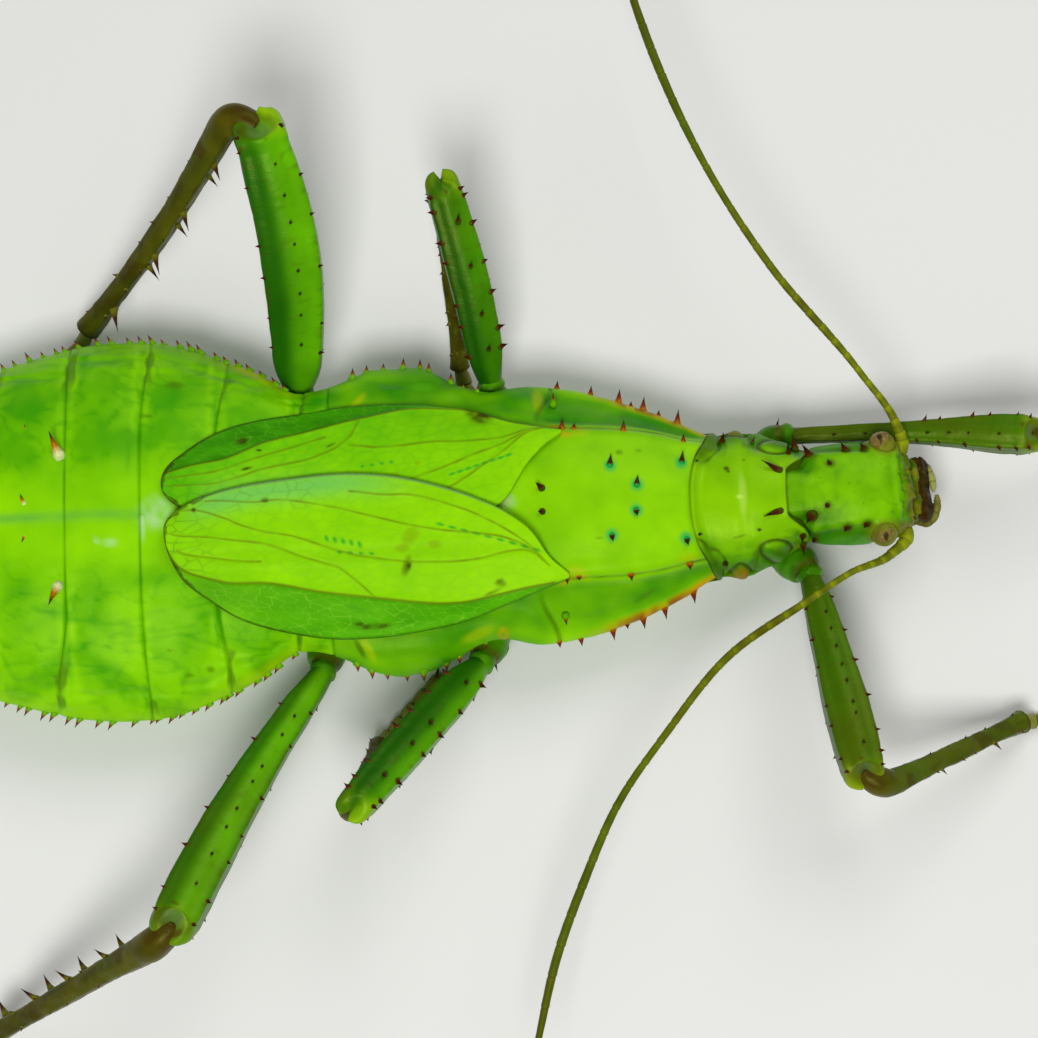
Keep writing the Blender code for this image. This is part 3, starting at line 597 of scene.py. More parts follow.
def thorax_skin():
    """The trunk's outline from the abdomen to under the neck plate, with its relief and its marks."""
    points, across, above = trunk_points(rows_near(THORAX_EDGE, 66.4, TRUNK_ROWS, (46.0, 62.0), 4.0, 1.0), TRUNK_COLS)
    x, y, wide = points[..., 0], points[..., 1], np.abs(across)
    fold = partial(folds, x, y)
    height, outside, saddle, flank, joint = thorax_relief(x, y, across, above, fold)
    # Painted shade: the hollow flanks darker, the left one and the front more; behind the joint the left side is darker
    # than the right.
    dark_side = np.where(y > 0, 0.95, 0.58) + 0.3 * ease(x, 53, 60)
    tone = 1.0 - dark_side * flank - 0.4 * (1 - above) - 0.14 * (0.5 + 0.5 * fold(4.0, 1.6, 59))
    rear = np.where(y > 0, 0.12, 0.28) + 0.28 * fold(3.0, 2.0, 61)
    tone += (rear - tone) * (1 - ease(x, 41.5, 46.5)) * ease(np.abs(y), 3.0, 8.0)
    ring = 0.6 * bell(np.hypot(x - WART[0], y - WART[1]) - 0.45, 0.3) * (0.7 + 0.3 * fold(0.5, 0.5, 77))
    keel = ease(wide, 0.940, 0.985) * (above | (wide > 0.97))
    hinge = spots(x, y, (1, 46.4, 9.5, 1.5, 0.8, -25), (1, 46.9, -8.9, 1.6, 0.7, 20))
    hinge *= ease(fold(0.8, 0.5, 75), -0.5, 0.4)
    band = keel * ease(x, 47.5, 56.0) * (0.8 + 0.3 * fold(1.3, 4.0, 71))
    return push(points, height), {
        "tone": tone + 0.16 * bell(wide - 0.95, 0.04) * above, "belly": 1.0 - above,
        "halo": spots(x, y, *((1, at, out, 0.8, 0.8) for at, out in (
            (52.4, 4.7), (52.3, -4.0), (55.4, -1.0), (55.6, 2.2), (61.2, 4.9), (61.4, -4.5)))),
        "grey": spots(x, y, (1, 39.2, 1.0, 1.5, 1.0, -30)),
        "crease": most(bell(outside - 0.12, 0.16) * saddle * (0.65 + 0.35 * fold(1.8, 3.0, 67)), 0.6 * joint),
        "orange": most(band, 0.75 * hinge + 0.9 * ring),
        "rust": keel * ease(x, 50, 57) * (1 - ease(x, 59.5, 63)) * ease(fold(1.1, 2.0, 73), -0.6, 0.3),
        "yellow": spots(x, y, (0.8, 22.0, -16.4, 1.6, 0.5, -60), (0.9, 21.5, 14.6, 1.4, 0.5, 50),
                        (0.8, 43.9, 14.2, 0.8, 1.7),
                        (0.7, 35.5, -15.0, 2.2, 0.6, 20), (0.7, 49.0, 9.2, 1.1, 0.7), (0.7, 48.2, -8.4, 1.6, 0.7, -30),
                        (0.8, 61.6, -6.9, 1.2, 0.8)),
        "fleck": spots(x, y, (0.9, 20.9, -16.3, 1.3, 0.35, -62), (0.7, 53.6, 6.4, 0.5, 0.35),
                       (0.6, 56.0, 6.6, 0.4, 0.2),
                       (0.5, 50.7, -4.3, 0.5, 0.15), (0.6, 41.9, -10.2, 1.8, 0.25, 35),
                       (0.5, 56.5, -11.4, 1.6, 0.3, 30)),
    }


# %% Middle of the body
MIDDLE_CUTICLE = cuticle(  # the same cuticle, with a pigment band of orange and rust along the keel
    "pigmented_green_cuticle", "#1c8201", "#90d801",
    (("belly", "#5fae10", 0.5), ("yellow", "#b0c400", 0.6), ("orange", "#cc9204", 0.95), ("rust", "#7a2e08", 0.8),
     ("halo", "#08ac48", 0.85), ("grey", "#a4c078", 0.8), ("fleck", "#466a06", 0.85), ("crease", "#2c4a04", 0.8)),
)
skins("thorax_skin", [thorax_skin()], MIDDLE_CUTICLE, ["metathorax", "mesothorax"])
print("the saddle is", 2 * SADDLE[2][1], "mm wide")

# %% [markdown]
# ## The neck plate
#
# The plate behind the head is a collar.  Its hind rim is a raised dark line that lies over the
# saddle, and its front is cut in a wide notch between two lobes, with a hooked thorn at each
# corner of the notch.  Both rims curve, so each point's place along the body is worked out from
# a start curve and an end curve, which run from the middle to the side.

# %% Shape of the neck plate
PLATE_ROWS, PLATE_COLS = 190, 240
PLATE_LIFT, PLATE_OUT = 0.35, 0.15  # how far it stands off the back and out at the sides
PLATE_UNDER = 64.0, 75.0  # the two straight rims of its underside


def plate_outline():
    """Rows from the hind rim to the front rim, with the gap to each rim."""
    share = np.concatenate([np.zeros(4), np.linspace(0, 1, PLATE_ROWS - 8), np.ones(4)])[:, None]
    _, across, above = trunk_points(np.linspace(62, 76, PLATE_ROWS), PLATE_COLS)
    start, end = (smooth(rim, np.abs(across)) for rim in (PLATE_BACK, PLATE_FRONT))
    x = np.where(above, start * (1 - share) + end * share, PLATE_UNDER[0] * (1 - share) + PLATE_UNDER[1] * share)
    z = np.where(above, arch(x, across) + PLATE_LIFT, belly_z(x, across))
    y = midline(x) + (smooth(HALF_WIDTH, x) + PLATE_OUT) * across
    return ring_of(x, y, z), share, across, above, x - start, end - x


def plate_forms(x, y):
    """Distances from the plate's forms: two pits, two lumps and the left and right hind lobes."""
    bent = x + 0.5 * folds(x, y, 2.0, 1.6, 85), y + 0.4 * folds(x, y, 1.8, 1.4, 87)
    pit = np.minimum(oval(x, y, (73.1, 7.05), (2.1, 1.1)), oval(x, y, (72.8, -6.25), (2.1, 1.1)))
    lump = np.minimum(oval(*bent, (68.4, 9.2), (1.2, 0.7)), oval(*bent, (68.3, -8.6), (1.2, 0.8)))
    left = oval(*bent, (64.0, 7.3), (2.9, 1.4), 47)
    return pit, lump, left, np.minimum(left, oval(*bent, (64.2, -7.3), (2.6, 1.3), -50))


def plate_relief(x, wide, behind, ahead, pit, lump, lobe):
    """Heights of the rolled rims, two cross furrows, the pits, lumps and lobes, and fine folds."""
    height = 0.28 * bell(behind - 0.35, 0.45) - 0.18 * bell(behind - 1.5, 0.6)
    height += 0.22 * bell(ahead - 0.15, 0.35) * ease(0.5 - wide, -0.05, 0.12)
    height -= 0.16 * bell(x - 68.3 - 0.8 * wide, 0.7) * (1 - ease(wide, 0.6, 0.8))
    height -= 0.35 * bell(x - 70.4 + 2.0 * (wide - 0.7), 0.6) * ease(wide, 0.55, 0.75)
    height += 0.30 * (1 - ease(pit, 0.2, 1.0)) - 0.26 * bell(pit - 1.05, 0.2)
    height += 0.35 * (1 - ease(lump, 0.2, 1.0)) - 0.2 * bell(lump - 1.1, 0.25)
    return height + 0.2 * (1 - ease(lobe, 0.2, 1.0)) - 0.2 * bell(lobe - 1.05, 0.18)


def plate_skin():
    """The outline with its relief, both rims rolled inwards, and the plate's marks."""
    points, share, across, above, behind, ahead = plate_outline()
    x, y, wide = points[..., 0], points[..., 1], np.abs(across)
    fold = partial(folds, x, y)
    pit, lump, left, lobe = plate_forms(x, y)
    height = plate_relief(x, wide, behind, ahead, pit, lump, lobe) * above
    points = push(points, height + 0.07 * fold(3.0, 2.5, 83) + 0.20 * fold(1.6, 1.0, 89) * ease(wide, 0.62, 0.85))
    inward = end_scales(0.80, 0.80, PLATE_ROWS, 4, 4)
    rolled = shrunk(points, inward)
    rolled[..., 0] = points[..., 0] + (1 - inward[..., 0]) * np.where(share < 0.5, 1.2, -1.2)
    tone = 0.90 - 0.80 * ease(wide, 0.66, 0.92) + 0.16 * fold(3.0, 2.0, 97) - 0.5 * ~above
    tone -= 0.45 * bell(x - 63.6, 1.5) * ease(wide, 0.3, 0.6)
    tone -= 0.3 * ease(fold(1.6, 1.0, 99), 0.2, 0.7) * ease(wide, 0.5, 0.7)
    # Painted shade: the dark lines round the pits, lumps and lobes and in the cross furrow lie in the grooves at their
    # feet.
    furrow = bell(x - 70.6 + 2.0 * (wide - 0.7), 0.25) * ease(wide, 0.62, 0.8)
    rim_line = bell(behind - 0.05, 0.16) * (0.4 + 0.6 * ease(wide, 0.35, 0.65))
    lobe_line = bell(lobe - 1.05, 0.12) * (0.45 + 0.4 * fold(1.0, 1.0, 91))
    stain = (1 - ease(left, 0.6, 1.2)) * (0.85 + 0.2 * fold(0.9, 0.7, 93))
    clouds = 0.6 * ease(fold(1.4, 0.8, 95), 0.1, 0.7) * ease(wide, 0.6, 0.8)
    return rolled, {
        "tone": tone,
        "crease": above * most(rim_line, 0.9 * bell(pit - 1.03, 0.14), 0.8 * bell(lump - 1.05, 0.2), lobe_line,
                               0.9 * bell(ahead, 0.14), 0.5 * furrow),
        "smoke": most(above * most(0.8 * bell(behind - 0.6, 0.8) * ease(wide, 0.35, 0.85),
                                   0.75 * (1 - ease(pit, 0.1, 0.9)),
                                   stain, 0.5 * bell(wide - 0.93, 0.08), clouds),
                      spots(x, y, (0.7, 66.0, -8.2, 1.6, 0.7, -10), (0.5, 71.5, -6.9, 2.4, 0.5, -8))),
        "pale": spots(x, y, (0.95, 68.2, 0.2, 0.5, 0.32), (0.45, 68.5, 0.4, 0.5, 2.6)),
        "rust": above * most(0.8 * ease(wide, 0.86, 1.0) * bell(ahead, 0.9),
                             (1 - ease(lump, 0.5, 1.0)) * (0.9 + 0.3 * fold(0.7, 0.5, 103))),
        "fleck": spots(x, y, (1, 66.7, 3.9, 0.35, 0.28), (1, 66.9, 3.5, 0.25, 0.2), (0.7, 68.9, 5.0, 0.2, 0.15),
                       (0.8, 70.35, -3.9, 0.35, 0.22), (0.6, 67.9, -4.6, 0.9, 0.12, 10)),
    }


# %% Neck plate
PLATE_CUTICLE = cuticle(  # a harder plate of the same cuticle, smoked brown where it is thickest
    "hard_green_plate", "#1c7c02", "#8ccc01",
    (("smoke", "#3c5406", 0.75), ("pale", "#c4e860", 0.8), ("rust", "#8c6a08", 0.9), ("fleck", "#3a3a06", 0.9),
     ("crease", "#2c2e06", 0.9)), 0.38,
)
skins("neck_plate_skin", [plate_skin()], PLATE_CUTICLE, ["prothorax"])
print("the neck plate is", round(PLATE_FRONT[0][1] - PLATE_BACK[0][1], 1), "mm long in the middle")

# %% [markdown]
# ## The fore wings
#
# The two short fore wings are leathery leaves, too small to fly with, and the right one lies
# over the left one's inner edge.  Each is a grid that runs from tip to base and from its inner
# edge to its outer edge.  Long veins branch across it, a mesh of little cells fills the space
# between them, and a darker strip beyond the strongest vein turns down over the flank.  Vein
# routes are a few named places on the wing; the cells are those of a jittered lattice, each
# point belonging to its nearest centre.

# %% Fore wing outline
WING_THICK, WING_CLEAR, WING_LIFT = 0.55, 0.62, 1.12
WING_EDGES = {  # (x, y) along the inner edge and along the outer edge, from the tip to the base
    "right": (
        ((-2.2, -2.0), (-0.5, 0.6), (3.0, 2.3), (8.3, 3.6), (13.5, 4.3), (20.4, 4.7), (25.6, 4.2),
         (30.8, 2.9), (36.0, 0.9), (39.5, -1.0), (42.6, -3.6), (44.4, -6.2), (46.9, -8.4)),
        ((-2.2, -2.0), (-1.6, -5.2), (-0.2, -7.8), (3.0, -10.4), (6.5, -12.6), (12.8, -14.4),
         (20.0, -15.3), (27.0, -14.9), (34.4, -13.5), (39.7, -11.7), (46.9, -9.2)),
    ),
    "left": (
        ((-2.6, 4.0), (-1.5, 1.8), (2.0, 0.0), (8.0, -1.6), (20.0, -2.4), (31.0, -2.2), (36.0, -1.0),
         (39.7, 1.1), (42.2, 5.0), (44.2, 7.2), (46.6, 8.9)),
        ((-2.6, 4.0), (-1.9, 6.2), (0.0, 7.9), (3.5, 10.2), (7.0, 11.6), (14.0, 13.0), (21.0, 13.8),
         (31.0, 13.5), (36.0, 12.6), (40.0, 11.0), (46.6, 9.6)),
    ),
}
RIDGE = {  # the strongest vein: (x, share of the way from inner to outer edge)
    "right": ((-2.2, 0.93), (0, 0.85), (4.9, 0.765), (9.8, 0.70), (16.0, 0.725), (23.2, 0.767), (32.6, 0.85),
              (38.3, 0.875), (45.0, 0.9)),
    "left": ((-2.6, 0.75), (-0.5, 0.71), (4.8, 0.66), (10, 0.762), (17, 0.827), (21.8, 0.877), (27.4, 0.947),
             (41.5, 1.0), (46.6, 1.0)),
}
VEINS = {
    "right": (
        ((23.2, 0.767), (20.8, 0.655), (18.7, 0.574), (14.3, 0.513), (9.8, 0.44), (4.9, 0.42), (-1.2, 0.42)),
        ((0, 0.07), (5.7, 0.26), (9.4, 0.35), (13.4, 0.39), (17.5, 0.46), (21.2, 0.51), (28.5, 0.55), (36.6, 0.515),
         (43.5, 0.3)),
        ((2.9, 0.065), (8.2, 0.14), (12.2, 0.147), (18.7, 0.22), (23.7, 0.28), (28, 0.32), (32.6, 0.33), (40.7, 0.3),
         (44.5, 0.33)),
        ((20.4, 0.12), (24.4, 0.135), (28, 0.115), (32.6, 0.13), (37, 0.17), (44, 0.3)),
        ((-0.6, 0.65), (4.5, 0.585), (9.4, 0.555)),
    ),
    "left": (
        ((-1.0, 0.40), (4.1, 0.41), (9.8, 0.525), (15.5, 0.58), (18.7, 0.65), (20.6, 0.74), (21.8, 0.877)),
        ((-1.7, 0.58), (3.5, 0.54), (9.0, 0.63), (14.0, 0.70), (17.5, 0.75)),
        ((20.5, 0.665), (24.4, 0.64), (30.5, 0.675), (36.6, 0.70), (44.3, 0.88)),
        ((26.0, 0.38), (29.6, 0.42), (36.6, 0.58), (42.7, 0.8)),
        ((31.0, 0.27), (34.1, 0.34), (39.0, 0.56), (43.9, 0.85)),
    ),
}


def wing_edge(pairs, share):
    """An edge's y at a share of the way from tip to base.  It is a smooth curve of the share's
    square root, which lets the tip be round."""
    x, y = np.array(pairs, float).T
    root = np.sqrt((x - x[0]) / (x[-1] - x[0]))
    return smooth(np.column_stack([root, y]), np.sqrt(share))


def wing_place(side, x, v):
    """The x and y of places given as x and the share of the way from the inner to the outer edge."""
    inner, outer = WING_EDGES[side]
    share = np.clip((np.asarray(x, float) - inner[0][0]) / (inner[-1][0] - inner[0][0]), 0, 1)
    low, high = wing_edge(inner, share), wing_edge(outer, share)
    return np.asarray(x, float), low + (high - low) * np.asarray(v, float)


def vein_distance(side, route, x, y):
    """Distance in millimetres from each place to the smooth curve through a vein's named places."""
    where, share = np.array(route, float).T
    run = np.linspace(0, 1, len(where))
    fine = np.linspace(0, 1, 90)
    vein_x, vein_y = wing_place(side, np.interp(fine, run, where), smooth(np.column_stack([run, share]), fine))
    nearest = np.full(x.shape, 1e9)
    for a_x, a_y, b_x, b_y in zip(vein_x[:-1], vein_y[:-1], vein_x[1:], vein_y[1:]):
        along_x, along_y = b_x - a_x, b_y - a_y
        t = np.clip(((x - a_x) * along_x + (y - a_y) * along_y) / (along_x**2 + along_y**2 + 1e-9), 0, 1)
        nearest = np.minimum(nearest, np.hypot(x - a_x - t * along_x, y - a_y - t * along_y))
    return nearest


def cell_walls(x, y, length, width, seed):
    """Distance, in cell widths, to the wall between the two nearest centres of a jittered lattice."""
    u, v = x / length, y / width
    first, second = np.full(x.shape, 9.0), np.full(x.shape, 9.0)
    for step_u in (-1, 0, 1):
        for step_v in (-1, 0, 1):
            cell_u, cell_v = np.floor(u) + step_u, np.floor(v) + step_v
            shift = 0.5 * (np.abs(cell_v) % 2)
            centre_u = cell_u + 0.04 + 0.92 * hashed(cell_u, cell_v, seed) + shift * 0.3
            centre_v = cell_v + 0.04 + 0.92 * hashed(cell_v, cell_u, seed + 3)
            away = np.hypot(u - centre_u, v - centre_v)
            second = np.minimum(second, np.maximum(first, away))
            first = np.minimum(first, away)
    return second - first


print("wing veins:", {side: len(routes) + 1 for side, routes in VEINS.items()})

# %% [markdown]
# The wing's upper face carries all the detail, so it gets most of the columns; the lower face is
# a plain parallel surface, and the two meet in a rounded edge.  The stains are soft ovals: brown
# spots, faint ones, and rows of short green dashes.

# %% Shape of the fore wings
WING_ROWS, WING_OVER, WING_UNDER = 372, 176, 24
WING_STAINS = {  # x, y, half length, half width and angle of each
    "right": {
        "brown": ((27.1, -7.0, 0.55, 1.15, -20), (38.5, -9.4, 0.7, 0.5), (37.6, -10.4, 1.2, 0.22, 20),
                  (22.9, -13.9, 1.9, 0.36, 4),
                  (21.0, -13.6, 0.6, 0.25), (10.1, 1.5, 0.5, 0.35), (1.5, 0.4, 0.3, 0.3)),
        "faint": ((27.7, -3.5, 0.9, 1.3, -40), (26.6, -4.9, 0.9, 0.5), (30.6, -4.6, 0.8, 0.5)),
    },
    "left": {
        "brown": ((36.9, 11.6, 1.5, 1.0), (35.3, 12.3, 0.6, 0.5), (7.3, 9.3, 0.8, 0.45, 15), (18.2, 8.5, 0.7, 0.18, 25),
                  (7.9, 5.7, 0.8, 0.2, 15), (9.4, 8.0, 0.35, 0.15)),
        "faint": ((28.8, 5.8, 0.4, 0.3), (26.0, 4.4, 0.5, 0.4)),
    },
}
WING_DASHES = {  # how many in the row, the step to the next in x and y, and the first one's oval
    "right": ((5, 1.0, -0.22, 17.5, -3.4, 0.26, 0.42, 20), (9, 1.45, -0.44, 31.4, -2.2, 0.55, 0.19, -17),
              (4, 1.3, -0.1, 19.0, -5.1, 0.32, 0.2, -10)),
    "left": ((8, 1.0, 0.3, 33.0, 4.2, 0.48, 0.2, 17), (4, 1.2, 0.15, 22.0, 5.6, 0.28, 0.22)),
}


def wing_grid(side):
    """Places on both faces, as x, y, the share of the way across and whether it is the upper face,
    with the distance from the rim and the wing's width there."""
    inner, _ = WING_EDGES[side]
    share = (0.0008 + 0.9992 * np.linspace(0, 1, WING_ROWS) ** 1.35)[:, None]
    x = inner[0][0] + (inner[-1][0] - inner[0][0]) * share
    v = np.concatenate([np.linspace(0, 1, WING_OVER), np.linspace(1, 0, WING_UNDER + 2)[1:-1]])[None, :]
    x, v = (np.array(part) for part in np.broadcast_arrays(x, v))
    low, y, high = (wing_place(side, x, part)[1] for part in (0 * v, v, 0 * v + 1))
    rim = np.minimum(np.minimum(np.abs(y - low), np.abs(high - y)), (x - x.min()) * 1.6)
    return x, y, v, np.arange(v.shape[1]) < WING_OVER, rim, low, np.abs(high - low)


def wing_faces(side, x, y, v, top, rim, swell, relief):
    """Heights of both faces: the back, a clearance, half the thickness up or down, and the relief.
    The thickness falls to nothing at the rim as a quarter circle."""
    clear = WING_CLEAR - 0.30 * ease(v, 0.8, 1.0) + (WING_LIFT * ease(y, -7.0, -4.0) if side == "right" else 0)
    middle = back_z(x, y) + clear + WING_THICK / 2
    half = WING_THICK / 2 * np.sqrt(np.clip(1 - (1 - np.clip(rim / 0.35, 0, 1)) ** 2, 0.02, 1))
    return np.where(top, middle + half + swell + relief * ease(rim, 0.05, 0.3), middle - half + swell * 0.8)


def stains(x, y, rows):
    """Soft ovals that add up where they meet."""
    return sum(spots(x, y, (1, *row)) for row in rows)


def wing_skin(side):
    """One closed tube, from tip to base, with the heights and marks of veins, net, strip and stains."""
    x, y, v, top, rim, low, wide = wing_grid(side)
    fold, is_right = partial(folds, x, y), side == "right"
    ridge = vein_distance(side, RIDGE[side], x, y)
    nearest = np.minimum.reduce([vein_distance(side, route, x, y) for route in VEINS[side]])
    strip = ease((v - smooth(RIDGE[side], x)) * wide, -0.1, 0.25)
    strip_walls, walls = cell_walls(x + 0.9 * y, y, 1.7, 0.75, 5), cell_walls(x - 0.3 * y, y, 1.9, 1.2, 9)
    walls = np.where(strip > 0.5, strip_walls, walls)
    net = (1 - ease(walls, 0.015, 0.11)) * (0.6 + 0.4 * fold(2.0, 1.5, 105))
    net *= ease(np.minimum(ridge, nearest), 0.1, 0.3)
    length = (x - x.min()) / (x.max() - x.min())
    tip, inner = 1 - ease(length, 0.02, 0.20), 0.5 * bell(v - 0.1, 0.12) * (1 - ease(length, 0.3, 0.5))
    swell = 0.10 * fold(6.0, 4.0, 101) + 0.22 * bell(ridge, 0.8)
    swell -= 0.22 * (1 - ease(rim, 0, 2.2)) + 0.25 * strip * ease(rim, 0, 1.5)
    relief = 0.13 * bell(ridge, 0.20) + 0.09 * bell(nearest, 0.17) + 0.045 * net - 0.03 * fold(1.2, 0.8, 103)
    # Darker towards the tip; the left wing's extra darkening, at its tip and over its outer half, is painted shade on
    # the insect's left side.
    tone = 0.9 + 0.14 * fold(4.0, 1.8, 107) - (0.25 if is_right else 0.75) * (1 - ease(length, 0.0, 0.30))
    tone -= (0.0 if is_right else 0.5) * ease(v, 0.45, 0.8) + 0.18 * ease(walls, 0.5, 0.1)
    ragged = rim - (0.42 + 0.38 * fold(0.6, 0.6, 111)) * (1 - ease(length, 0.02, 0.14))
    edge = (1 - ease(ragged, 0.08, 0.32)) * (1 - 0.5 * ease(length, 0.25, 0.5)) * (0.8 + 0.2 * fold(0.7, 0.7, 115))
    milky = 0.5 * bell(v - 0.25, 0.18) * ease(x, 0, 6) * (1 - ease(x, 12, 22))
    grey = 0.0
    if is_right:
        milky = bell(y - low + 1.3, 1.5) * ease(x, -1, 5) * (1 - ease(x, 17, 30))
        grey = (1 - ease(rim, 0.22, 0.5)) * (y > low - 0.9) * ease(x, 0, 6) * (1 - ease(x, 33, 42))
    dashes = [(at_x + i * step_x, at_y + i * step_y, *size)
              for count, step_x, step_y, at_x, at_y, *size in WING_DASHES[side] for i in range(count)]
    return ring_of(x, y, wing_faces(side, x, y, v, top, rim, swell, relief)), {
        "tone": tone, "strip": strip * (1 - 0.35 * (1 - ease(length, 0.1, 0.35)) * is_right),
        "net": net * (0.4 + 0.6 * strip) * top, "shade": (0.5 + 0.5 * folds(x + y, y, 2.5, 1.0, 117)) * strip,
        "mesh": net * most(tip, inner) * top, "edge": edge, "base_glow": ease(length, 0.45, 1.0) * (1 - strip),
        "vein": most(bell(nearest, 0.13) * (0.7 + 0.3 * fold(1.5, 1.0, 113)), 0.9 * bell(ridge, 0.14)) * top,
        "milky": milky, "grey": grey, "dash": stains(x, y, dashes),
        "faint": 0.7 * stains(x, y, WING_STAINS[side]["faint"]),
        "brown": stains(x, y, WING_STAINS[side]["brown"]) * (0.75 + 0.45 * fold(0.9, 0.7, 109)),
    }


# %% Fore wings
# The left wing's greens are darker than the right's: painted shade on the insect's left side.
WING_GREENS = {  # dark and bright leather, the strip beyond the strongest vein, net, shading
    "right": ("#6cbc01", "#90da01", "#4cac01", "#84cc28", "#2c8c01"),
    "left": ("#4cac01", "#86d201", "#369401", "#64b41c", "#1c6c01"),
}
for side in ("left", "right"):
    dark, bright, strip, net, shade = WING_GREENS[side]
    leather = cuticle(  # thin tough leather with air cells in it: matt, and yellower than the body
        f"wing_leather_{side}", dark, bright,
        (("base_glow", "#9ade00", 0.4), ("milky", "#6cc458", 0.8), ("strip", strip, 0.92), ("shade", shade, 0.6),
         ("net", net, 0.65), ("mesh", "#4c6c14", 0.75), ("dash", "#26a820", 0.9), ("faint", "#7a9a02", 0.7),
         ("vein", "#687604", 0.9), ("brown", "#342a02", 0.95), ("edge", "#383c0c", 0.9), ("grey", "#6c9a54", 0.85)),
        0.5, 0.3, 0.12, 3.0, 0.25,
    )
    skins(f"fore_wing_{side}", [wing_skin(side)], leather, [f"tegmen_{side}"])
print("fore wings lie", WING_CLEAR, "mm over the back")

# %% [markdown]
# ## The head
#
# The head is a flat-topped box that turns slightly to the left.  It is worked out in its own
# directions, forwards from the neck and out to its left, then turned into place.  On it are a
# furrow between the smooth crown and each cheek, a swollen ring round each eye, a low ridge
# across the brow and the wrinkled face plate in front.

# %% Shape of the head
NECK, HEAD_YAW = (75.3, 0.75), math.radians(3)
HEAD_SECTIONS = (  # (forward of the neck, half width, underside, top)
    (-3.2, 4.6, 8.9, 15.1), (-1.4, 5.0, 8.7, 15.8), (0.45, 5.3, 8.6, 16.0), (2.0, 5.8, 7.6, 16.1),
    (5.0, 6.1, 6.8, 16.3),
    (9.0, 6.2, 6.3, 16.4), (11.6, 6.0, 6.1, 15.9), (13.4, 5.2, 6.1, 14.9), (14.7, 4.3, 6.2, 13.6),
    (15.45, 3.8, 6.4, 12.7),
)
HEAD_ROWS, HEAD_COLS = 250, 260
EYES, EYE_RADIUS = {1: (11.3, 5.35, 13.9), -1: (10.4, -5.65, 13.7)}, 1.65  # forward, out and height of each eye
HEAD_THORNS = (  # forward, out, length, half width
    (1.5, -3.1, 2.0, 0.6), (2.1, 4.7, 2.1, 0.5), (3.5, -2.0, 0.7, 0.3), (4.4, 3.2, 0.8, 0.3), (5.8, -4.8, 1.3, 0.4),
    (6.6, 5.0, 1.4, 0.4), (8.2, -4.6, 1.2, 0.38), (8.9, 4.9, 1.2, 0.38), (1.9, -5.7, 0.8, 0.3),
)
HEAD_FLECKS = ((6.4, 0.4, 0.13), (7.9, -2.2, 0.1), (10.6, 2.6, 0.1), (3.0, 1.5, 0.1), (11.5, -3.4, 0.14))


def head_place(forward, out, z):
    """Points given forwards and to the left of the neck, turned by the head's yaw."""
    x = NECK[0] + forward * math.cos(HEAD_YAW) - out * math.sin(HEAD_YAW)
    y = NECK[1] + forward * math.sin(HEAD_YAW) + out * math.cos(HEAD_YAW)
    return ring_of(x, y, z)


def rounded_rings(sections, forward, cols, power=0.85):
    """Rounded-square cross-sections between the sections' half widths and heights: out and up are
    half sizes times |cos|^power and |sin|^power."""
    half, low, high = (smooth([(section[0], section[k]) for section in sections], forward) for k in (1, 2, 3))
    across, up = np.cos(turns(cols)), np.sin(turns(cols))
    out = half * np.sign(across) * np.abs(across) ** power
    return out, (low + high) / 2 + (high - low) / 2 * np.sign(up) * np.abs(up) ** power


def head_relief(forward, out, z, above, eyes, furrow, corner):
    """Heights of the swollen eye rings, the furrows, the brow ridge, the face and the neck corners."""
    wide = np.abs(out)
    fold = partial(folds, forward, out)
    height = 0.32 * bell(eyes - 1.8, 0.45) - 0.4 * bell(eyes, 1.2)
    height += (0.16 * bell(wide - 4.3, 0.8) - 0.34 * bell(wide - 5.35 + 0.12 * (forward - 4), 0.45)) * furrow
    height += 0.30 * bell(z - 11.3, 1.3) * furrow
    height += 0.20 * bell(forward - 12.35 - 0.02 * wide**2, 0.36) * (1 - ease(wide, 3.6, 4.6)) * above
    height -= 0.24 * bell(forward - 13.15, 0.30) * (1 - ease(wide, 3.8, 4.6)) * above
    height += ease(forward, 12.2, 13.0) * (0.34 * fold(0.8, 0.9, 121) + 0.15 * fold(0.35, 0.4, 123))
    height += (0.5 * bell(np.hypot(forward - 12.7, wide - 5.0), 0.9) - 0.26 * bell(forward - 14.9, 0.22)) * above
    height -= 0.3 * corner + 1.1 * (1 - ease(forward, 0.4, 2.0)) * ease(wide, 2.2, 4.2) * above
    return height + 0.05 * fold(2.5, 2.0, 127) + 0.015 * fold(0.5, 0.5, 129)


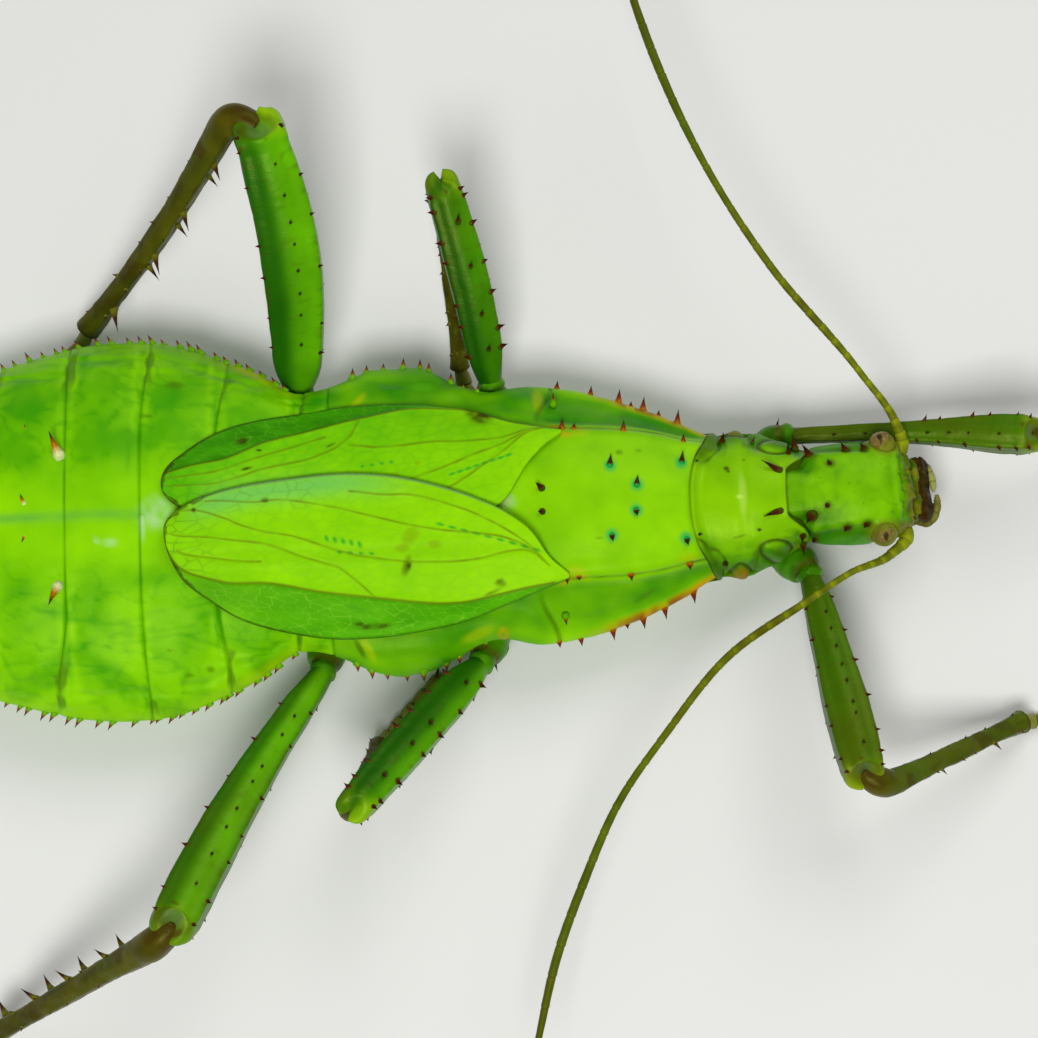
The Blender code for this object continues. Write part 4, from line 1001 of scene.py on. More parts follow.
def head_skin():
    """Rounded-square sections from the neck to the mouth, with the head's relief and marks."""
    start, end = HEAD_SECTIONS[0][0], HEAD_SECTIONS[-1][0]
    forward = np.concatenate([np.full(5, start), np.linspace(start, end, HEAD_ROWS - 12), np.full(7, end)])[:, None]
    out, z = rounded_rings(HEAD_SECTIONS, forward, HEAD_COLS)
    forward = forward + 0 * out
    above, wide = np.sin(turns(HEAD_COLS)) > 0, np.abs(out)
    fold = partial(folds, forward, out)
    eyes = np.minimum(*(np.sqrt((forward - a) ** 2 + (out - b) ** 2 + (z - c) ** 2) for a, b, c in EYES.values()))
    furrow = ease(forward, 0.3, 1.6) * (1 - ease(forward, 8.6, 9.8)) * above
    left_corner, right_corner = np.hypot(forward - 1.6, out - 3.2), np.hypot((forward - 2.4) / 1.6, out + 3.5)
    corner = most(bell(left_corner, 1.3), bell(right_corner, 1.3)) * above
    points = push(head_place(forward, out, z), head_relief(forward, out, z, above, eyes, furrow, corner))
    crown = (1 - ease(wide, 4.2, 5.6)) * above
    # Painted shade: the sides darker than the crown, the hollows at the rear corners darker still, and the back of the
    # head in a painted shadow of the neck plate.
    tone = 0.16 + 0.80 * crown * (1 - 0.5 * ease(forward, 10.0, 12.5)) + 0.3 * bell(z - 11.4, 1.4) - 0.9 * corner
    tone += 0.14 * fold(2.2, 1.6, 131) + 0.25 * bell(forward - 12.3, 0.4) * crown
    tone -= 0.35 * (1 - ease(forward, 0.2, 1.8)) + 0.2 * ease(fold(0.9, 0.7, 135), 0.2, 0.8)
    brow = ease(forward, 11.2, 12.6) * ease(wide, 4.0, 4.8)
    cheek_fold = ease(forward, 11.6, 12.8) * ease(wide, 4.2, 5.0)
    thorn_feet = ((1, a + 0.1, b, 0.15 + 1.6 * half, 0.15 + 1.4 * half) for a, b, _, half in HEAD_THORNS)
    # The furrow and crease marks are painted shade in the grooves, and the halo mark is painted shade round the thorns'
    # feet.
    return shrunk(points, end_scales(0.70, 0.5, HEAD_ROWS, 5, 7)), {
        "tone": tone, "cheek": bell(z - 10.8, 2.2) * (1 - ease(forward, 9.0, 11.5)) * (wide > 4),
        "olive": most(ease(forward, 13.0, 13.9) * (0.8 + 0.2 * fold(0.6, 0.6, 133)), 0.9 * brow),
        "amber": ease(fold(0.55, 0.7, 137), -0.1, 0.9) * most(ease(forward, 13.2, 14.0), cheek_fold),
        "halo": spots(forward, out, *thorn_feet) * above, "furrow": 0.7 * bell(wide - 5.35, 0.5) * furrow,
        "orbit": bell(eyes - 1.7, 0.5) * (0.85 + 0.3 * fold(0.5, 0.5, 139)),
        "crease": most(bell(forward - 14.9, 0.16), 0.35 * bell(forward - 13.15, 0.2) * (wide < 4)) * above,
        "fleck": most(*(0.8 * bell(np.hypot(forward - a, out - b), size) for a, b, size in HEAD_FLECKS)),
    }


# %% Head
# Its furrow, halo and crease layers are painted shade.
HEAD_CUTICLE = cuticle(  # hard smooth cuticle; the face plate's is thinner and shows olive and amber
    "head_capsule", "#187001", "#7cc202",
    (("cheek", "#2c9004", 0.6), ("furrow", "#1c6402", 0.7), ("olive", "#444004", 0.9), ("amber", "#8c7c10", 0.65),
     ("orbit", "#747a14", 0.9), ("halo", "#3e5604", 0.75), ("fleck", "#3a5a06", 0.8), ("crease", "#2c3008", 0.85)),
    0.38, 0.3, 0.1, 3.0, 0.3,
)
skins("head_skin", [head_skin()], HEAD_CUTICLE, ["head"])
print("the head is", HEAD_SECTIONS[-1][0], "mm long to the lip")

# %% [markdown]
# ## Eyes
#
# An insect's eye is a dome of hundreds of little lenses.  It has no pupil, but the lenses that
# face the viewer look dark, and this insect's eyes are marked with a darker spot and a pinkish
# band.  The dome is a ball whose rings run out from that spot.  The lens pattern is the cell
# lattice again, drawn a little coarser than life so that it shows.

# %% Eyes
EYE_ROWS, EYE_COLS = 110, 150
EYE_LOOK = {1: (-0.25, 0.45, 0.85), -1: (0.0, -0.35, 0.85)}  # the direction of the dark spot
EYE_BROWN = {1: 0.80, -1: 0.62}  # how far the brown reaches from it, in radians


def eye_ball(side):
    """A ball of rings round an axis: radius * (cos(rise) * axis + sin(rise) * (cos(turn) * one +
    sin(turn) * two)), with a relief of lenses."""
    axis = unit(EYE_LOOK[side])
    one = unit(np.cross(axis, (1.0, 0.0, 0.0)))
    two = np.cross(axis, one)
    rise, turn = np.linspace(0.012, math.pi - 0.012, EYE_ROWS)[:, None], turns(EYE_COLS)
    u, v = rise * np.cos(turn), rise * np.sin(turn)
    fold = partial(folds, u, v)
    lens = ease(cell_walls(EYE_RADIUS * u, EYE_RADIUS * v, 0.17, 0.15, 7), 0.0, 0.35)
    flat = np.cos(turn)[..., None] * one + np.sin(turn)[..., None] * two
    ball = np.cos(rise)[..., None] * axis + np.sin(rise)[..., None] * flat
    ring = rise + 0.10 * np.sin(2 * turn + 0.7) + 0.05 * np.sin(5 * turn)
    reach = EYE_BROWN[side]
    inside = 1 - ease(ring + 0.16 * fold(0.3, 0.25, 159), reach - 0.20, reach + 0.10)
    dark = most(1 - ease(np.hypot(u, 1.4 * v), 0.20, 0.38), 0.8 * ease(fold(0.5, 0.10, 161), 0.2, 0.6))
    # The pale mottle in the brown patch is partly pinkish lens colour and partly painted glints.
    return head_place(*EYES[side]) + EYE_RADIUS * (1 + 0.018 * lens)[..., None] * ball, {
        "tone": 0.35 + 0.4 * lens + 0.25 * fold(0.5, 0.5, 165), "brown": inside, "dark": inside * dark,
        "pale": inside * ease(fold(0.2, 0.12, 163), 0.5, 0.85), "dusk": 0.5 * bell(ring - reach - 0.06, 0.12),
        "belly": ease(rise, 1.3, 1.9),
    }


# Its pale layer is partly painted glints.
EYE_FACETS = cuticle(  # clear hard lenses over dark pigment: the glossiest surface on the insect
    "faceted_eye", "#5c6410", "#848a20",
    (("brown", "#7c6038", 0.8), ("pale", "#b09478", 0.75), ("dark", "#241410", 0.95), ("dusk", "#4a3c14", 0.7),
     ("belly", "#444c0c", 0.7)),
    0.22, 0.12, 0.05, 1.0, 0.4,
)
SIDES = ((1, "left"), (-1, "right"))
for side, name in SIDES:
    skins(f"eye_{name}_dome", [eye_ball(side)], EYE_FACETS, [f"eye_{name}"])
print("each eye is", 2 * EYE_RADIUS, "mm across")

# %% [markdown]
# ## Tubes along a path
#
# Palps, feelers, legs and thorns are tubes on a smooth curve through a few places.  At each
# point of the curve three directions are worked out: ahead, aside and upright.

# %% Tubes along a path
def along_route(route):
    """The share of a route's length at each of its places."""
    run = np.concatenate([[0], np.cumsum(np.linalg.norm(np.diff(route, axis=0), axis=1))])
    return run / run[-1]


def curve_through(route, rows):
    """Points on the smooth curve through the route, and their shares of its length."""
    route = np.array(route, float)
    run, share = along_route(route), np.linspace(0, 1, rows)
    return np.stack([smooth(np.column_stack([run, values]), share) for values in route.T], -1), share


def frames(path):
    """Directions ahead, aside and upright along a path, the upright one as near to +Z as can be."""
    ahead = np.gradient(path, axis=0)
    ahead /= np.linalg.norm(ahead, axis=1, keepdims=True)
    aside = np.cross((0.0, 0.0, 1.0), ahead)
    aside[np.linalg.norm(aside, axis=1) < 1e-6] = (0.0, 1.0, 0.0)
    aside /= np.linalg.norm(aside, axis=1, keepdims=True)
    return ahead, aside, np.cross(ahead, aside)


def tube_points(path, radii, cols, section=1.0):
    """Rings round a path: radius times section times (cos * aside + sin * upright)."""
    _, aside, upright = frames(path)
    turn = turns(cols)[..., None]
    reach = (np.asarray(radii, float)[:, None] * section)[..., None]
    return path[:, None] + reach * (np.cos(turn) * aside[:, None] + np.sin(turn) * upright[:, None])


print("halfway from (0, 0, 0) to (3, 4, 0) is", curve_through([(0, 0, 0), (3, 4, 0)], 3)[0][1].tolist())

# %% [markdown]
# ## The mouth
#
# Under the face plate hangs the upper lip, a notched brown flap.  Below it are the two dark
# toothed jaws, and at each side a soft jointed palp with which the insect feels its food.  The
# lip and jaws are lofts of rounded-square sections; the palps are beaded tubes.

# %% Shape of the mouth
LIP_SECTIONS = ((15.2, 3.9, 9.0, 12.5), (16.1, 4.1, 8.8, 12.0), (16.9, 3.9, 8.7, 10.9), (17.3, 3.3, 9.0, 10.2))
JAW_SECTIONS = ((15.3, 1.8, 6.6, 9.1), (16.3, 1.7, 6.7, 8.9), (17.1, 1.2, 7.1, 8.4), (17.3, 0.7, 7.4, 8.2))
PALP_ROUTES = {  # a long and a short palp on each side: (forward, out, height)
    1: (((15.6, 3.2, 7.8), (16.6, 3.6, 8.4), (17.35, 2.7, 9.4), (17.65, 1.2, 10.0), (17.7, -0.4, 10.1)),
        ((15.6, 2.2, 6.8), (17.2, 2.2, 7.0), (18.0, 1.5, 7.6))),
    -1: (((15.4, -3.6, 8.0), (16.7, -4.1, 8.4), (17.6, -3.5, 8.8), (18.05, -2.2, 9.1), (18.15, -0.7, 9.4)),
         ((15.6, -2.2, 6.8), (17.2, -2.2, 7.0), (18.2, -1.5, 7.6))),
}
PALP_JOINTS, PALP_THICK, PALP_ROWS, PALP_COLS = np.array((0.16, 0.36, 0.6, 0.8)), (0.44, 0.34), 90, 28
PALP_TAPER = ((0, 1.0), (0.5, 1.05), (0.9, 0.9), (1, 0.45))


def head_loft(sections, cols, shift=0.0, notch=0.0):
    """Sections along the head's axis as a smooth closed tube.  `notch` pulls the middle back."""
    share = np.linspace(0, 1, 60)[:, None]
    forward = sections[0][0] + share * (sections[-1][0] - sections[0][0])
    out, z = rounded_rings(sections, forward, cols, 0.75)
    return head_place(forward - notch * share * bell(out, 0.7), out + shift, z), share, out, z


def lip_skin():
    """The upper lip: a flap that thins towards a notched front rim, wrinkled lengthways."""
    points, share, out, _ = head_loft(LIP_SECTIONS, 110, 0, 0.5)
    fold = partial(folds, share * 2, out)
    return push(points, 0.12 * fold(0.6, 0.5, 141) - 0.2 * bell(share - 0.4, 0.08)), {
        "tone": 0.5 + 0.5 * fold(1.2, 0.4, 143), "cream": 0.7 * ease(fold(0.4, 0.5, 147), 0.62, 0.85),
        "red": 0.8 * bell(share - 0.25, 0.2),
    }


def jaw_skin(side):
    """A jaw: a blunt wedge with two low teeth on its cutting edge."""
    points, share, out, z = head_loft(JAW_SECTIONS, 60, side * 1.9)
    teeth = 0.25 * np.abs(np.sin(3.2 * z)) * bell(out + side * 1.5, 0.7) * ease(share, 0.3, 0.8)
    return push(points, teeth), {"tone": 0.4 + 0.4 * share, "red": 0.3 * share}


def palp_skins(side):
    """Both palps of one side as tubes that are pinched at their joints and end in a blunt tip."""
    grids = []
    for route, thick in zip(PALP_ROUTES[side], PALP_THICK):
        path, share = curve_through([head_place(*place) for place in route], PALP_ROWS)
        near = np.abs(share[:, None] - PALP_JOINTS).min(1)
        radii = thick * smooth(PALP_TAPER, share) * (1 - 0.12 * bell(near, 0.032))
        tone = 0.1 + (0.75 if side > 0 else 0.0) * ease(share, 0.4, 0.6)
        red = 0.6 * bell(near, 0.02) + 0.8 * ease(0.6 - share, 0.0, 0.4)
        grids.append((tube_points(path, radii, PALP_COLS), {"tone": tone[:, None], "red": red[:, None]}))
    return grids


# %% Mouth
MOUTH_HORN = cuticle(  # the hardest, darkest cuticle, tanned like horn
    "tanned_mouth_horn", "#140e04", "#44300a", (("red", "#4c1c08", 0.6), ("cream", "#7a7038", 0.6)), 0.5, 0.25, 0.15,
    0.8, 0.12,
)
PALP_SKIN = cuticle(  # soft pale skin with brown joints
    "soft_palp_skin", "#565608", "#a8a860", (("red", "#544c0c", 0.8),), 0.45, 0.2, 0.1, 0.8, 0.3,
)
skins("upper_lip", [lip_skin()], MOUTH_HORN, ["labrum"])
for side, name in SIDES:
    skins(f"jaw_{name}", [jaw_skin(side)], MOUTH_HORN, [f"mandible_{name}"])
    skins(f"palps_{name}", palp_skins(side), PALP_SKIN, [f"palp_{name}"])
print("the mouth has a lip, two jaws and four palps")

# %% [markdown]
# ## Feelers
#
# Each feeler is a chain of over thirty joints: a thick first joint in a socket before the eye, a
# short second one, and then thin ones that grow longer towards the tip.  It is one tube whose
# radius dips at every joint, with a dark ring there.

# %% Feelers
FEELER_ROUTES = {
    "left": ((88.2, 5.0, 11.6), (89.0, 7.0, 12.5), (88.2, 9.4, 13.9), (84.0, 15.4, 15.8), (73.2, 29.0, 18.0),
             (66.7, 39.6, 19.5), (60.5, 54.0, 20.0), (58.0, 62.0, 20.0), (55.6, 72.0, 19.5)),
    "right": ((88.6, -2.4, 10.6), (89.2, -4.3, 10.9), (87.0, -6.7, 12.0), (81.3, -9.5, 15.5), (75.4, -13.2, 17.0),
              (65.9, -19.4, 18.0), (57.6, -28.9, 19.0), (51.9, -36.5, 19.0), (47.3, -45.8, 18.6), (43.6, -55.0, 18.0),
              (41.2, -64.0, 17.4), (39.8, -70.0, 17.0)),
}
FEELER_RADII = ((0, 0.9), (0.03, 0.86), (0.045, 0.70), (0.06, 0.62), (0.3, 0.5), (0.5, 0.45), (0.97, 0.3), (1, 0.2))
FEELER_ROWS, FEELER_COLS = 900, 22
JOINT_STEPS = np.concatenate([[3.0, 1.1], np.linspace(1.8, 5.2, 45)])  # mm from joint to joint


def feeler_skin(side):
    """A long tube pinched at joints whose spacing grows from 1.8 mm to 5 mm."""
    path, share = curve_through(FEELER_ROUTES[side], FEELER_ROWS)
    length = np.linalg.norm(np.diff(path, axis=0), axis=1).sum()
    joints = np.cumsum(JOINT_STEPS)
    joints = joints[joints < length - 1] / length
    after = (share[:, None] - joints) * length
    ahead, behind = np.where(after < 0, -after, 99).min(1), np.where(after >= 0, after, 99).min(1)
    near = np.minimum(ahead, behind)
    radius = smooth(FEELER_RADII, share) * (1 - 0.10 * bell(near, 0.14) + 0.06 * bell(ahead - 0.3, 0.3))
    x = share[:, None] * length
    tone = np.clip(0.55 - 0.35 * ease(share, 0.0, 0.9) + 0.5 * bell(near, 0.6), 0, 1)
    marks = {
        "joint": bell(near, 0.07) * (0.35 + 0.3 * ease(share, 0.1, 0.4)), "grass": 0.6 * ease(share, 0.35, 0.8),
        "brown": 0.55 * ease(lattice_noise(share * 14, 0, 153), 0.45, 0.8) * ease(share, 0.04, 0.12),
        "amber": 0.35 * bell(share - 0.02, 0.03) + 0.7 * bell(ahead - 0.3, 0.5) * (1 - ease(share, 0.1, 0.5)),
    }
    marks = {title: values[:, None] for title, values in marks.items()}
    marks["tone"] = tone[:, None] + 0.15 * folds(x, 0 * x, 3.0, 1.0, 151)
    points = tube_points(path, radius, FEELER_COLS)
    return push(points, 0.015 * folds(x, np.arange(FEELER_COLS)[None, :], 0.8, 1.5, 157)), marks, len(joints)


FEELER_CUTICLE = cuticle(  # thin tubes of cuticle, half clear, ringed with brown at every joint
    "ringed_feeler_cuticle", "#3e4404", "#747c10",
    (("grass", "#446c0c", 0.7), ("brown", "#4a3408", 0.85), ("amber", "#94a008", 0.8), ("joint", "#241c06", 0.75)),
    0.42, 0.25, 0.1, 2.0, 0.3,
)
for side in ("left", "right"):
    points, marks, count = feeler_skin(side)
    solids = [f"antenna_{side}_{part}" for part in ("scape", "middle", "tip")]
    skins(f"feeler_{side}", [(points, marks)], FEELER_CUTICLE, solids)

# %% [markdown]
# ## Legs
#
# Each leg has a short hip piece, a thick green thigh, a thin olive shin and a foot of five joints
# with two claws and a pad between them.  The routes are those of the solids.  Every length is a
# tube along a path, but a thigh isn't round: it has raised keels along it, so its radius is
# multiplied by a section that peaks at the keels.  Each length starts inside the one before it,
# as the real joints do.

# %% Leg routes
LEGS = {
    "left_fore": dict(root=(71.2, 5.8, 5.2), hip=(74.6, 9.4, 7.9), knee=(105.6, 7.4, 13.2), ankle=(126.5, 11.6, 3.1),
                      toe=(137.6, 13.2), bow=(0.0, 0.5, -0.3), thigh="fore_slim", shin=1.5),
    "right_fore": dict(root=(73.0, -4.2, 4.9), hip=(77.0, -8.0, 8.6), knee=(81.6, -34.5, 16.3),
                       ankle=(103.4, -27.2, 3.1),
                       toe=(114.4, -26.0), bow=(0.0, 0.0, 0.6), thigh="fore", shin=1.6),
    "left_mid": dict(root=(39.6, 10.6, 3.5), hip=(38.2, 16.9, 8.0), knee=(33.0, 39.5, 21.2), ankle=(34.2, 20.8, 3.1),
                     toe=(37.4, 11.5), bow=(0.4, 0.0, 0.6), thigh="mid", shin=1.35, under=True),
    "right_mid": dict(root=(38.4, -10.6, 3.4), hip=(35.9, -17.9, 8.2), knee=(20.4, -36.4, 23.4),
                      ankle=(22.5, -27.4, 3.1),
                      toe=(30.2, -18.9), bow=(0.0, 0.0, 0.6), thigh="mid", shin=1.35, under=True),
    "left_hind": dict(root=(16.2, 10.8, 2.3), hip=(13.8, 17.2, 7.6), knee=(10.8, 46.0, 29.8), ankle=(-13.5, 27.5, 3.1),
                      toe=(-20.8, 19.4), bow=(1.7, 0.0, 0.8), thigh="hind", shin=1.75, shin_bow=(0.8, -0.6, 0.0)),
    "right_hind": dict(root=(16.6, -11.2, 2.9), hip=(16.2, -18.2, 8.0), knee=(-1.2, -50.2, 25.8),
                       ankle=(-27.0, -62.0, 3.1),
                       toe=(-37.6, -66.2), bow=(-0.8, 0.0, 0.8), thigh="hind_slim", shin=1.75),
}
THIGH_RADII = {
    "fore_slim": ((0, 1.05), (0.2, 1.1), (0.4, 1.25), (0.58, 1.55), (0.73, 2.05), (0.9, 2.4), (0.97, 2.2), (1, 1.8)),
    "fore": ((0, 1.3), (0.15, 1.9), (0.4, 2.4), (0.7, 2.9), (0.92, 2.7), (0.975, 2.4), (1, 2.0)),
    "mid": ((0, 1.4), (0.12, 2.2), (0.4, 2.6), (0.8, 2.5), (0.94, 2.3), (0.975, 2.1), (1, 1.8)),
    "hind": ((0, 1.9), (0.07, 2.9), (0.22, 3.45), (0.62, 3.9), (0.9, 3.4), (0.975, 3.0), (1, 2.4)),
    "hind_slim": ((0, 1.5), (0.1, 1.95), (0.25, 2.2), (0.5, 2.7), (0.75, 3.05), (0.93, 2.95), (0.975, 2.7), (1, 2.3)),
}
THIGH_ROWS, SHIN_ROWS, FOOT_ROWS = 240, 230, 200
HIP_GAP, KNEE_GAP = 0.8, 0.35
FOOT_Z, FOOT_JOINTS = 0.75, 5
SINK = {True: 1.6, False: 0.8}  # how deep a shin starts in the thigh, folded under it or not
TUCK = {True: 1.3, False: 0.35}  # how closely it passes the thigh's corner


def thigh_path(leg, rows):
    """From inside the hip to just short of the knee, bowed aside by sin(pi * share)."""
    hip, knee = np.array(leg["hip"]), np.array(leg["knee"])
    start = hip + HIP_GAP * unit(knee - hip)
    share = np.linspace(-0.035, 1.012, rows)
    bow = np.sin(math.pi * np.clip(share, 0, 1))[:, None] * np.array(leg["bow"])
    return start + share[:, None] * (knee - start) + bow, np.clip(share, 0, 1)


def shin_path(leg, rows):
    """From inside the thigh's end to the ankle.  The line to the ankle passes just clear of the
    thigh's corner; a curve (1 - t)^2 A + 2 t (1 - t) B + t^2 C leads from the thigh's end on to it."""
    path, along_thigh = thigh_path(leg, 60)
    under = leg.get("under", False)
    knee, ankle, out = np.array(leg["knee"]), np.array(leg["ankle"]), unit(path[-1] - path[-6])
    radii = smooth(THIGH_RADII[leg["thigh"]], along_thigh)
    behind = np.linalg.norm(knee - path, axis=1)
    aim = unit(ankle - knee)
    for _ in range(4):
        along = np.dot(out, aim)
        square = math.sqrt(1 - along**2)
        down = unit((0, 0, -1) + out * out[2]) if under else unit(aim - out * along)
        beside = square * out - along * down
        clear = np.max(-along * radii - square * behind) + leg["shin"] + KNEE_GAP - TUCK[under]
        corner = knee + 1.7 * square * aim + clear * beside
        aim = unit(ankle - corner)
    t = np.linspace(0, 1, 30)[:, None]
    a, b, c = knee - SINK[under] * out, corner - 0.5 * aim, corner + 2.6 * aim
    curve = (1 - t) ** 2 * a + 2 * t * (1 - t) * b + t**2 * c
    route = np.concatenate([curve, [ankle - 0.1 * aim]])
    run, share = along_route(route), np.linspace(0, 1, rows) ** 0.95
    points = np.stack([np.interp(share, run, values) for values in route.T], -1)
    return points + np.sin(math.pi * share)[:, None] * np.array(leg.get("shin_bow", (0, 0, 0))), share


def foot_path(leg, rows):
    """From the ankle down to the floor and along it to the toe."""
    ankle, toe = np.array(leg["ankle"]), np.array((*leg["toe"], FOOT_Z))
    share = np.linspace(-0.05, 1, rows)
    path = ankle + share[:, None] * (toe - ankle)
    path[:, 2] = FOOT_Z + (ankle[2] - FOOT_Z) * np.clip(1 - share * 5, 0, 1) ** 2
    return path, np.clip(share, 0, 1)


print("legs:", ", ".join(LEGS))

# %% [markdown]
# The thigh's four keels are thin rims that carry the thorns.  At the knee it ends in two round
# lobes with soft grey skin between them, where the shin folds away.

# %% Hips and thighs
KEELS = (38, 142, 218, 322)  # degrees round a limb from its outer side
HIP_RADII = ((0, 1.5), (0.25, 2.15), (0.5, 2.45), (0.72, 2.15), (0.8, 1.6), (0.9, 1.75), (1, 1.2))
HIP_ROWS, HIP_COLS, THIGH_COLS = 110, 60, 84
# The lit and dusk values and the lighter front are painted light and shade; olive is the thighs' own colour.
LEG_HUES = {  # how lit, olive and dusky a thigh is at hip and knee, how much lighter in front, and from where
    "left_fore": ((0.1, 0.45), (1.0, 0.5), (0.7, 0.5), 0.1, 0.0),
    "right_fore": ((0.3, 0.15), (0.5, 0.8), (0.5, 0.5), 0.1, 0.0),
    "left_mid": ((0.05, 0.2), (0.0, 0.1), (0.7, 0.4), 0.45, -0.3),
    "right_mid": ((0.7, 0.5), (0.05, 0.0), (0.2, 0.3), 0.5, 0.15),
    "left_hind": ((0.35, 0.75), (0.0, 0.0), (0.3, 0.0), 0.5, -0.35),
    "right_hind": ((0.75, 0.65), (0.1, 0.4), (0.0, 0.1), 0.5, -0.45),
}


def keels_at(turn, width):
    """1 on each keel, falling off as a Gaussian of the given width in degrees."""
    return sum(bell(np.abs((np.degrees(turn) - keel + 180) % 360 - 180), width) for keel in KEELS)


def hip_grid(leg):
    """The hip piece: a short swollen tube with a tight ring before the thigh."""
    root, hip, knee = (np.array(leg[place]) for place in ("root", "hip", "knee"))
    route = [root, (root + hip) / 2, hip - 0.2 * unit(hip - root), hip + 1.5 * unit(knee - hip)]
    path, share = curve_through(route, HIP_ROWS)
    points = tube_points(path, smooth(HIP_RADII, share), HIP_COLS)
    share = share[:, None]
    fold = partial(folds, share * 9, np.arange(HIP_COLS)[None, :] / 6)
    return push(points, 0.14 * fold(1.1, 1.6, 201) + 0.05 * fold(0.4, 0.5, 203)), {
        "tone": 0.45 + 0.3 * fold(1.0, 2.0, 205), "olive": 0.35 * bell(share - 0.8, 0.08), "dusk": 0.2,
        "brown": 0.8 * bell(share - 0.79, 0.035) + 0.25 * ease(fold(0.8, 1.1, 207), 0.3, 0.8),
    }


def thigh_grid(name, leg):
    """The thigh: a keeled tube, its last tenth pinched between two lobes."""
    path, share = thigh_path(leg, THIGH_ROWS)
    turn, under = turns(THIGH_COLS), leg.get("under", False)
    closing = np.sqrt(1 - np.clip((np.linspace(-0.035, 1.012, THIGH_ROWS) - 0.975) / 0.039, 0, 0.97) ** 2)
    radius = smooth(THIGH_RADII[leg["thigh"]], share) * (1 + 0.05 * bell(share - 0.95, 0.03)) * closing
    share = share[:, None]
    fade = ease(share, 0.02, 0.15) * (1 - ease(share, 0.93, 1.0))
    fold = partial(folds, share * np.linalg.norm(path[-1] - path[0]), np.degrees(turn) / 20)
    points = tube_points(path, radius, THIGH_COLS, 1 + 0.20 * (keels_at(turn, 13) - 0.35) * fade)
    points = push(points, 0.05 * fold(3.5, 2.2, 211) + 0.02 * fold(0.8, 0.9, 213))
    lobe = np.abs(np.cos(turn)) ** 1.5
    gap = (1 - lobe) * (ease(-np.sin(turn), -0.1, 0.5) if under else 1.0)
    reach = (lobe + (0.9 if under else 0.3) * np.abs(np.cos(turn)) ** 7) * ease(share, 0.93, 1.0)
    reach -= 0.7 * gap * ease(share, 0.95, 0.99)
    points += reach[..., None] * unit(path[-1] - path[-6])
    hollow = gap * ease(share, 0.955, 0.985)
    return points, thigh_marks(name, leg, share, turn, fold, keels_at(turn, 8) * fade, lobe, hollow)


def thigh_marks(name, leg, share, turn, fold, rim, lobe, hollow):
    """How lit, deep, olive, dusky and stained each place is.  The front side is the lighter one:
    the lighter front and top, the pale line along the keels, the deep green rear side and the
    dusky underside are painted light and shade.
    """
    *ends, contrast, border = LEG_HUES[name]
    lit, olive, dusk = (low + (high - low) * share for low, high in ends)
    # Painted light on the front, the top and the keels; painted shade on the rear side and underneath.
    across = -np.cos(turn) * np.sign(leg["hip"][1])
    front = np.tanh(3.0 * (across - border))
    deep = contrast * (1 - np.tanh(3.0 * (across - border - 0.25)))
    deep = np.clip(deep + (0.7 * ease(across, 0.45, 0.85) if name == "right_hind" else 0), 0, 1)
    tone = lit + contrast * front * (1 - 0.6 * ease(share, 0.86, 0.94)) + 0.2 * ease(share, 0.9, 0.97)
    tone = tone + 0.16 * fold(4.0, 2.5, 215) + 0.30 * rim + 0.35 * (np.clip(np.sin(turn), 0, 1) ** 2 - 0.5)
    brown = 0.65 * ease(fold(0.9, 1.2, 219), 0.55, 0.85) * (0.3 + 0.7 * ease(share, 0.85, 0.95))
    yellow = ease(share, 0.92, 0.99) * (1 - hollow) * (1 - 0.7 * deep)
    marks = {
        "deep": deep, "tone": tone, "olive": olive + 0.2 * fold(5.0, 3.0, 217) * (olive > 0.05),
        "dusk": dusk + 0.3 * (np.sin(turn) < -0.3) + 0.45 * contrast * (1 - front),
        "brown": brown + 0.35 * rim * ease(fold(0.7, 3.0, 221), 0.2, 0.7) + 0.6 * bell(hollow - 0.4, 0.25),
        "grey": 0.8 * ease(hollow, 0.45, 0.8) * (0.8 + 0.3 * fold(0.5, 0.6, 223)),
        "yellow": yellow * (0.15 + 0.6 * lobe + 0.3 * fold(1.2, 1.0, 225)),
    }
    return {title: np.clip(values, 0, 1) for title, values in marks.items()}


print("a hind thigh is", round(2 * THIGH_RADII["hind"][3][1], 1), "mm thick")

# %% [markdown]
# The shin is a thin keeled tube with a knob at the knee.  The foot's five joints swell to their
# ends and overlap, and between its two hooked claws is a round pad that grips smooth leaves.

# %% Shins and feet
SHIN_RADII = ((0, 0.85), (0.05, 1.02), (0.10, 1.12), (0.16, 1.06), (0.28, 0.9), (0.6, 0.79), (0.93, 0.8), (1, 0.95))
SHIN_COLS, FOOT_COLS, PAD_SIZE, CLAW_ROWS, CLAW_COLS = 56, 40, 20, 26, 12


def shin_grid(name, leg):
    """The shin: a keeled tube with a knob at the knee and a slightly wider end at the ankle."""
    path, share = shin_path(leg, SHIN_ROWS)
    radius, turn, share = leg["shin"] * smooth(SHIN_RADII, share), turns(SHIN_COLS), share[:, None]
    fade = ease(share, 0.12, 0.25) * (1 - ease(share, 0.94, 1))
    fold = partial(folds, share * 26, np.degrees(turn) / 30)
    points = tube_points(path, radius, SHIN_COLS, 1 + 0.16 * (keels_at(turn, 16) - 0.35) * fade)
    grass = (0.75 if name == "right_fore" else 0.25) * (0.8 + 0.4 * fold(3.0, 2.0, 237))
    return push(points, 0.07 * fold(1.2, 1.5, 231) + 0.03 * fold(0.4, 0.5, 233)), {
        "tone": 0.40 + 0.35 * fold(1.8, 1.4, 235) + 0.3 * bell(share - 0.09, 0.05),
        "grass": np.clip(grass, 0, 1) * ease(share, 0.05, 0.2), "joint": 0.7 * ease(share, 0.985, 1.0),
        "brown": 0.55 * ease(fold(1.3, 1.8, 239), 0.1, 0.6) + 0.5 * bell(share - 0.03, 0.03),
    }


